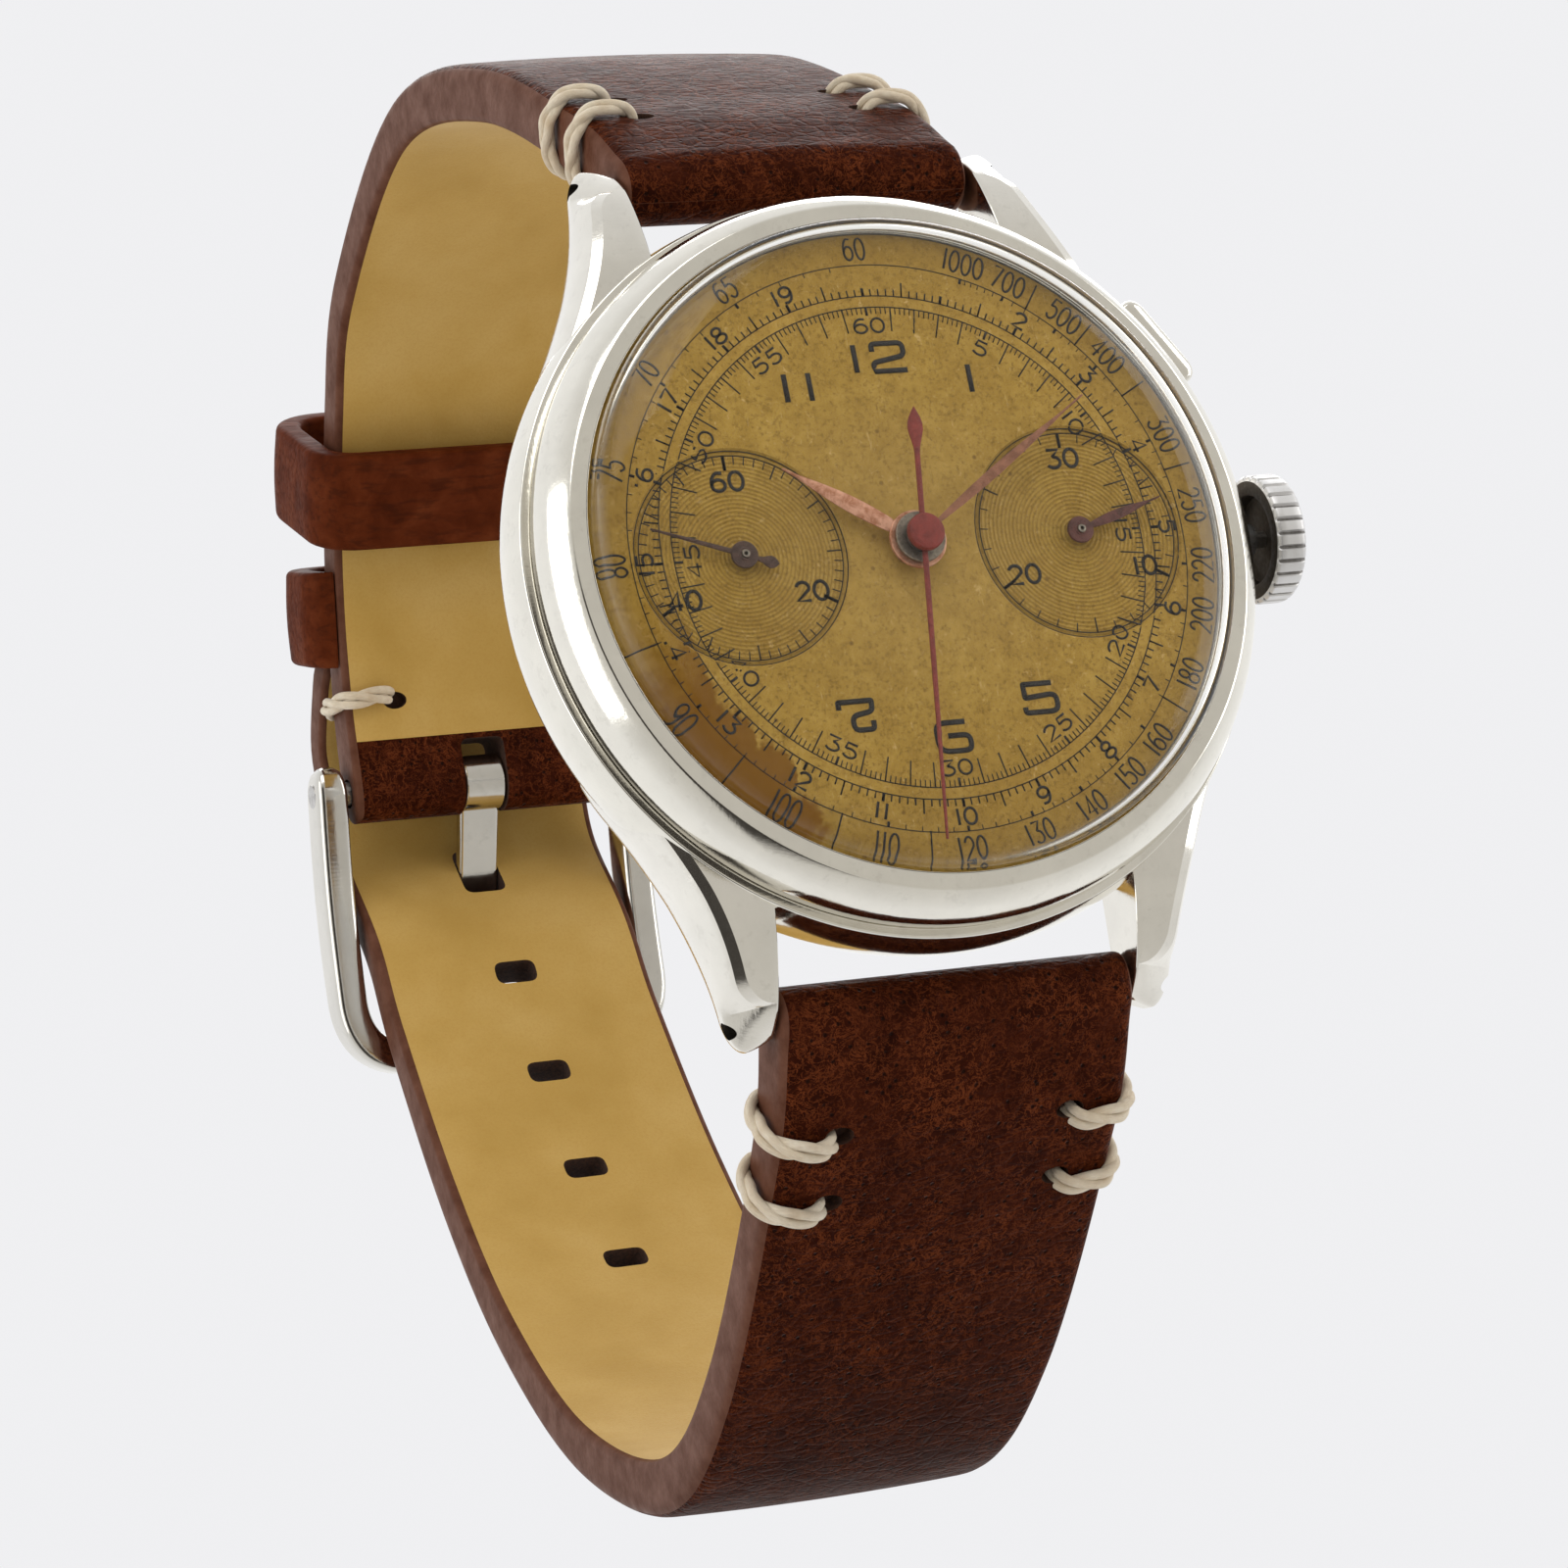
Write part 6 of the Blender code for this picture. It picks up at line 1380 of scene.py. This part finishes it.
def make_short_strap():
    """The 12 o'clock strap, folded about a bar at each end, less its awl holes, slot and bore."""
    body = np.linspace(0, short_line.length, 150)
    thick = fold_thickness(short_line, body, True) / 2
    skin = strap_skin(short_line, body, half_width(short_line, body), thick, True)
    cutters = Skin()
    stitch_holes(cutters, short_line, True)
    slot = eased(box(-1.32, 1.32, -2.5, 4.0), (0.5, 0.5, 0, 0))
    hole_cutter(cutters, short_line, short_line.length, slot, *RIGHT_THROUGH)
    bore = BUCKLE_BAR_RADIUS + 2 * FIT
    bar = short_line.at(short_line.length)[0]
    cutters.add(cross_lathe(((bore, -20.0), (bore, 20.0)), 32, bar), slots=RAW)
    skin.piece("short_strap_leather", "case", STRAP_FINISHES, ["strap_short"], "leather", 50, cutters)


def make_long_strap():
    """The 6 o'clock strap: sections along its line, thinning to a pointed tail, less its punched holes."""
    straight = long_line.length - TAIL_POINT
    body = np.concatenate((np.linspace(0, straight, 190),
                           straight + TAIL_POINT * np.sin(np.linspace(0, np.pi / 2, 26)[1:])))
    thin = np.clip((body - long_line.length * 0.6) / (long_line.length * 0.2), 0, 1)
    thick = (fold_thickness(long_line, body, False) + (TAIL_THICKNESS - STRAP_THICKNESS) * thin) / 2
    wide = half_width(long_line, body)
    left = np.clip(1 - (long_line.length - body) / (STRAP_END_WIDTH * 0.55), 0, 1)
    wide = wide - (wide - TAIL_TIP_WIDTH / 2) * left ** 1.8
    skin = strap_skin(long_line, body, wide, thick, False)
    cutters = Skin()
    stitch_holes(cutters, long_line, False)
    oval = eased(box(-1.25, 1.25, -0.72, 0.72), 0.9)
    square = eased(box(-1.26, 1.26, -1.6, 1.9), 0.6)
    for i in range(6):
        place = tongue_at - (i - 1) * HOLE_SPACING
        hole_cutter(cutters, long_line, place, square if i == 1 else oval, *RIGHT_THROUGH)
    skin.piece("long_strap_leather", "case", STRAP_FINISHES, ["strap_long"], "leather", 50, cutters)


def twisted(path, binormal):
    """Three loosely twisted strands along a path, lying wider than they are high.

    A strand's middle stands off the path by 0.15 cos p out and 0.33 sin p along the strap, where
    p = 2 pi s / pitch plus a third of a turn for each strand; a ring of ten points goes round it.
    """
    normal = unit(np.cross(binormal, heading(path)))
    reach = np.concatenate(([0], np.cumsum(np.linalg.norm(np.diff(path, axis=0), axis=1))))
    a = round_angles(10)
    ring = np.cos(a)[None, :, None] * normal[:, None] + np.sin(a)[None, :, None] * binormal
    grids = []
    for k in range(3):
        phase = (TURN * (reach / THREAD_PITCH + k / 3))[:, None]
        middle = path + 0.15 * np.cos(phase) * normal + 0.33 * np.sin(phase) * binormal
        grids.append(middle[:, None] + STRAND_RADIUS * ring)
    return grids, reach


def make_stitches():
    """Threads that come up through the grain, wrap the strap's edge and go down through the lining."""
    for line, distance, where, number in stitch_places():
        thick = float(fold_thickness(line, distance, line is short_line)) / 2
        half = float(half_width(line, distance))
        lift = thick + THREAD_LIFT
        turn = half + THREAD_LIFT
        way = np.array(((half - 2.75, thick - 0.75), (half - 2.68, thick - 0.1), (half - 2.2, lift + 0.02),
                        (half - 1.2, lift + 0.1), (half - 0.3, lift - 0.15), (turn, 0.55 * thick),
                        (turn + 0.06, 0.0), (turn, -0.6 * thick), (half - 0.25, -lift + 0.05),
                        (half - 1.2, -lift - 0.03), (half - 2.2, -lift + 0.02), (half - 2.68, -thick + 0.1),
                        (half - 2.75, -thick + 0.75)))
        path = evenly(smooth_curve(way, 12), 90)
        ahead = line.at(distance)[1]
        binormal = np.array((0.0, ahead[0], ahead[1]))
        slant = -0.5 * np.sin(np.linspace(-1.2, 1.2, len(path)))
        seam = np.linspace(0, 0.002, 11)
        for side, side_name in ((-1, "left"), (1, "right")):
            points = line.spot(distance + slant, side * path[:, 0], path[:, 1])
            grids, reach = twisted(points, binormal)
            lie = np.stack(np.broadcast_arrays(seam[None, :], reach[:, None] * MM), axis=-1)
            skin = Skin()
            for grid in grids:
                skin.add(grid, lie=lie)
            name = "%s_%s_%d" % (where, side_name, number)
            skin.piece("thread_" + name, "case", [linen], ["stitch_" + name], "thread")


def band_section(wide, wall):
    """A keeper's section (along the strap, out from its path): flat inside, eased edges, crowned outside."""
    f = np.linspace(-1, 1, 9)
    outside = np.stack((f * (wide - 0.35), wall - 0.12 * f ** 2), axis=-1)
    left = arc((-wide + 0.35, 0.35), (0.35, 0.35), 270, 180, 5)
    left_top = arc((-wide + 0.42, wall - 0.55), (0.42, 0.45), 180, 95, 6)
    right_top = left_top[::-1] * (-1, 1)
    right = left[::-1] * (-1, 1)
    return np.concatenate((left, left_top, outside[1:-1], right_top, right))


def make_keepers():
    """Two leather loops: a section carried round a rounded box, or over an arch whose feet are pared thin."""
    section = band_section(KEEPER_WIDTH / 2, KEEPER_WALL)
    for name, node, body, back in (("free_keeper_leather", "keeper_free", "free_keeper", FREE_KEEPER_BACK),
                                   ("fixed_keeper_leather", "keeper_fixed", "case", FIXED_KEEPER_BACK)):
        distance = short_line.length - back
        place, ahead, normal = short_line.at(distance)
        half = float(half_width(short_line, distance - KEEPER_WIDTH))
        free = body == "free_keeper"
        if free:
            half += 3 * FIT
            low, high = -STRAP_THICKNESS / 2 - KEEPER_SLACK, STRAP_THICKNESS / 2 + FREE_KEEPER_ROOM
            path = eased(arch(half, low, high), (1.3, 2.7, 2.7, 1.3), steps=14)
            path = evenly(np.concatenate((path, path[:1])), 161)[:-1]
            lead = unit(np.roll(path, -1, axis=0) - np.roll(path, 1, axis=0))
            skive = np.ones(len(path))
        else:
            half += FIT
            low, high = -STRAP_THICKNESS * 0.42, STRAP_THICKNESS / 2 + FIXED_KEEPER_ROOM
            path = evenly(eased(arch(half, low, high), (0, 2.3, 2.3, 0), closed=False, steps=12), 121)
            lead = heading(path)
            to_end = np.clip(steps_from_ends(path) / 9.0, 0, 1)
            skive = 0.1 + 0.9 * np.sqrt(1 - (1 - to_end) ** 2)
        ring = path[:, None] - quarter_turn(lead)[:, None] * (section[None, :, 1:] * skive[:, None, None])
        plane = place + normal * ring[..., 1:] + ahead * section[None, :, :1]
        skin = Skin().add(watch_points(ring[..., 0], plane), along=free)
        skin.piece(name, body, [lit_keeper_hide], [node], "leather", 60)


def make_buckle():
    """The frame and tongue, which turn on one bar in the short strap's fold."""
    bar = short_line.at(short_line.length)[0]
    here, _, normal = long_line.at(frame_end_at)
    end = here + normal * (STRAP_THICKNESS / 2 + LAYER_GAP + BUCKLE_ARM_THICKNESS / 2 + FIT)
    make_frame(bar, end)
    make_tongue(bar, end)


def make_frame(bar, end):
    """A flattened round section carried down one arm, across over the long strap and up the other.

    The section is a superellipse |x|^5 + |y|^5 = 1, flattened underneath towards the far end, and the
    arms bow by sin(pi s / length).
    """
    reach = end - bar
    length = np.linalg.norm(reach)
    down = reach / length
    over = np.array((-down[1], down[0]))
    middle = STRAP_END_WIDTH / 2 + 0.3 + BUCKLE_ARM_WIDTH / 2
    path = evenly(eased(arch(middle, -1.6, length), (0, 3.6, 3.6, 0), closed=False, steps=20), 170)
    side = -quarter_turn(heading(path))
    a = round_angles(44)
    power = 2 / 5
    across = np.sign(np.cos(a)) * np.abs(np.cos(a)) ** power * BUCKLE_ARM_WIDTH / 2
    lift = np.sign(np.sin(a)) * np.abs(np.sin(a)) ** power * BUCKLE_ARM_THICKNESS / 2
    close = np.minimum(1, steps_from_ends(path) / 6.0)
    close = (1 - (1 - close) ** 2) ** 0.5 * 0.6 + 0.4
    bow = 0.9 * np.sin(np.pi * np.clip(path[:, 1] / length, 0, 1))
    x = path[:, :1] + side[:, :1] * across * close[:, None]
    s = path[:, 1:] + side[:, 1:] * across * close[:, None]
    flat = 1 - 0.28 * np.clip(path[:, 1:] / length * 2 - 1, 0, 1) ** 2
    up = np.where(lift < 0, lift * flat, lift) * close[:, None] + bow[:, None]
    plane = bar + down * s[..., None] + over * up[..., None]
    skin = Skin().add(watch_points(x, plane))
    skin.piece("buckle_loop", "buckle", [buckle_steel], ["buckle_frame"], "polished_steel", 60)


def make_tongue(bar, end):
    """A strip with eased edges on a curve from its eye, through the strap's hole and over the frame's end."""
    through, ahead, normal = long_line.at(tongue_at)
    reach = end - bar
    beyond = end + reach / np.linalg.norm(reach) * 1.4
    rest = end + normal * (BUCKLE_ARM_THICKNESS / 2 + TONGUE_THICKNESS / 2 + 0.29)
    bore = BUCKLE_BAR_RADIUS + FIT
    eye = bore + 0.85
    start = bar + unit(through - bar) * (eye - 0.2)
    knee = through + normal * (TAIL_THICKNESS / 2 + 1.0) - ahead * 1.2
    tip = beyond + normal * (BUCKLE_ARM_THICKNESS / 2 + TONGUE_THICKNESS / 2 + 0.1)
    path = evenly(smooth_curve((start, through, knee, (knee + rest) / 2 + normal * 0.5, rest, tip), 20), 80)
    side = quarter_turn(heading(path))
    half = TONGUE_WIDTH / 2
    thick = TONGUE_THICKNESS / 2
    section = eased(box(half, -half, thick, -thick), 0.22)
    last = np.clip((np.arange(len(path)) - 70) / 9.0, 0, 1)
    narrow = (1 - 0.45 * last ** 2)[:, None]
    thin = (1 - 0.5 * last ** 3)[:, None]
    x = section[:, 0] * narrow
    plane = path[:, None] + side[:, None] * (section[:, 1] * thin)[..., None]
    skin = Skin().add(watch_points(x, plane))
    skin.add(cross_lathe(eased(box(bore, eye, -half, half), 0.12), 40, bar), along=True)
    skin.piece("buckle_tongue_strip", "tongue", [buckle_steel], ["buckle_tongue"], "polished_steel", 40)


def finish_cad_nodes():
    """Finishes for the CAD nodes that stay: movement, bars, pins and tube."""
    brass = ("main_plate", "train_bridge", "balance_cock", "chronograph_bridge", "movement_ring",
             "center_wheel", "third_wheel", "fourth_wheel", "mainspring_barrel", "hour_wheel", "minute_wheel",
             "balance_wheel", "chrono_wheel", "counter_wheel")
    for name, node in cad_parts.items():
        if not node.hide_render:
            node.data.materials.clear()
            node.data.materials.append(gilt_brass if name in brass else movement_steel)


def make_floor():
    """A pale round floor on rings about the watch, seen from above only, that fades away by distance.

    It is neither mirrored in the steel nor in the way of the light from below.
    """
    rings = np.array((0.0005, 0.03, 0.08, 0.16, 0.3, 0.6))[:, None]
    angle = round_angles(64)
    x, y = rings * np.cos(angle), rings * np.sin(angle) + FLOOR_MIDDLE
    points = np.stack((x, y, np.full_like(x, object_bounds()[0].z)), axis=-1)
    index = np.arange(x.size).reshape(x.shape)
    index = np.concatenate((index, index[:, :1]), axis=1)
    quads = np.stack((index[:-1, :-1], index[1:, :-1], index[1:, 1:], index[:-1, 1:]), axis=-1).reshape(-1, 4)
    mesh = bpy.data.meshes.new("floor")
    mesh.from_pydata(points.reshape(-1, 3), [], quads.tolist() + [index[0, :-1].tolist()])
    floor = placed("floor", mesh)
    pale = Finish("pale_floor", {"Base Color": (0.60, 0.60, 0.61, 1), "Roughness": 0.8})
    tone = pale.ramp(pale.noise(40, 3.0), (0.3, (0.58, 0.58, 0.59)), (0.7, (0.61, 0.61, 0.62)))
    pale.feed("Base Color", tone)
    away = pale.measure("LENGTH", pale.shifted((1.0, 1.0, 0.0), (0, -FLOOR_MIDDLE, 0)))
    behind = pale.node("NewGeometry", {}).outputs["Backfacing"]
    fade = pale.calc("MAXIMUM", pale.step(away, 0.07, 0.4), behind)
    clear = pale.node("BsdfTransparent", {}).outputs[0]
    blend = pale.node("MixShader", {0: fade, 1: pale.shader.outputs[0], 2: clear})
    pale.join(blend.outputs[0], pale.tree.nodes["Material Output"].inputs["Surface"])
    mesh.materials.append(pale.material)
    floor.visible_glossy = False
    floor.visible_shadow = False


def make_backdrop():
    """A pale tent of light, dimmer at its open front, with a dark upright patch that the bevels mirror.

    The tent's shade is a ramp on the direction's y times a ramp on its z. The patch is a product of soft
    steps on how far the direction points each way. The camera sees one plain pale grey.
    """
    world = bpy.data.worlds.new("tent")
    bpy.context.scene.world = world
    world.use_nodes = True
    tent = Patterns(world.node_tree)
    way = tent.node("TexCoord", {}).outputs["Generated"]
    depth, height = [tent.calc("MULTIPLY_ADD", tent.part(way, axis), 0.5, 0.5) for axis in "YZ"]
    front_to_back = tent.ramp(depth, (0.0, (0.58, 0.555, 0.51)), (0.16, (0.63, 0.61, 0.57)),
                              (0.36, (0.76, 0.75, 0.73)), (0.6, 0.94), (1.0, 1.0))
    bottom_to_top = tent.ramp(height, (0.0, (0.94, 0.935, 0.93)), (0.3, (0.97, 0.97, 0.965)), (0.5, 0.99),
                              (1.0, 0.98))
    shade = tent.mix(1.0, front_to_back, bottom_to_top, "MULTIPLY")
    patch = 1.0
    for direction, low, high, start, end in (((0.914, -0.407, 0), 0.2, 0.3, 1, 0),
                                             ((-0.914, 0.407, 0), 0.2, 0.3, 1, 0),
                                             ((0, 0, 1), 0.2, 0.36, 1, 0), ((0, 0, 1), -0.88, -0.72, 0, 1),
                                             ((-0.407, -0.914, 0), 0.0, 0.3, 0, 1)):
        toward = tent.measure("DOT_PRODUCT", way, direction)
        patch = tent.calc("MULTIPLY", tent.step(toward, low, high, start, end), patch)
    lit = tent.mix(patch, shade, (0.05, 0.045, 0.04))
    seen = tent.node("LightPath", {}).outputs["Is Camera Ray"]
    shown = tent.mix(seen, lit, (0.868, 0.868, 0.884))
    tent.join(shown, tent.tree.nodes["Background"].inputs["Color"])


def soft_light(name, place, size, radiance, mirrored=True):
    """A rectangular light aimed at the watch; its power is radiance times pi times its area."""
    lamp = bpy.data.lights.new(name, "AREA")
    lamp.shape = "RECTANGLE"
    lamp.size, lamp.size_y = size
    lamp.energy = radiance * np.pi * size[0] * size[1]
    thing = placed(name, lamp)
    place = Vector(place)
    aim = Vector((0, 0.01, 0)) - place
    thing.matrix_world = Matrix.Translation(place) @ aim.to_track_quat("-Z", "Y").to_matrix().to_4x4()
    thing.visible_camera = False
    thing.visible_glossy = mirrored


def make_camera():
    """The camera at the photograph's viewing angle: its place and its right, up and back directions."""
    lens = bpy.data.cameras.new("camera")
    lens.sensor_width = 36.0
    lens.lens = 119.1
    lens.clip_start, lens.clip_end = 0.005, 10.0
    camera = placed("camera", lens)
    right = (0.92480, -0.33367, -0.18276)
    up = (0.08510, -0.28677, 0.95421)
    back = (-0.37081, -0.89801, -0.23681)
    place = (-0.09670, -0.22131, -0.06722)
    camera.matrix_world = Matrix((*zip(right, up, back, place), (0, 0, 0, 1)))
    bpy.context.scene.camera = camera


make_camera()
make_case_band()
make_lugs()
make_bezel()
make_crystal()
make_back()
make_dial()
make_printing()
make_middle_hands()
make_register_hands()
make_crown()
make_pusher()
make_short_strap()
make_long_strap()
make_stitches()
make_keepers()
make_buckle()
finish_cad_nodes()
make_floor()
make_backdrop()
soft_light("front_light", (-0.12, -0.30, 0.36), (0.36, 0.30), 1.9)
soft_light("right_light", (0.40, -0.20, 0.10), (0.22, 0.36), 1.9)
soft_light("left_light", (-0.44, -0.06, 0.06), (0.34, 0.44), 1.15)
soft_light("back_light", (0.18, 0.31, 0.36), (0.40, 0.30), 2.8)
soft_light("low_light", (-0.03, -0.06, -0.40), (0.30, 0.30), 1.2, mirrored=False)
bpy.context.scene.view_settings.view_transform = "Standard"
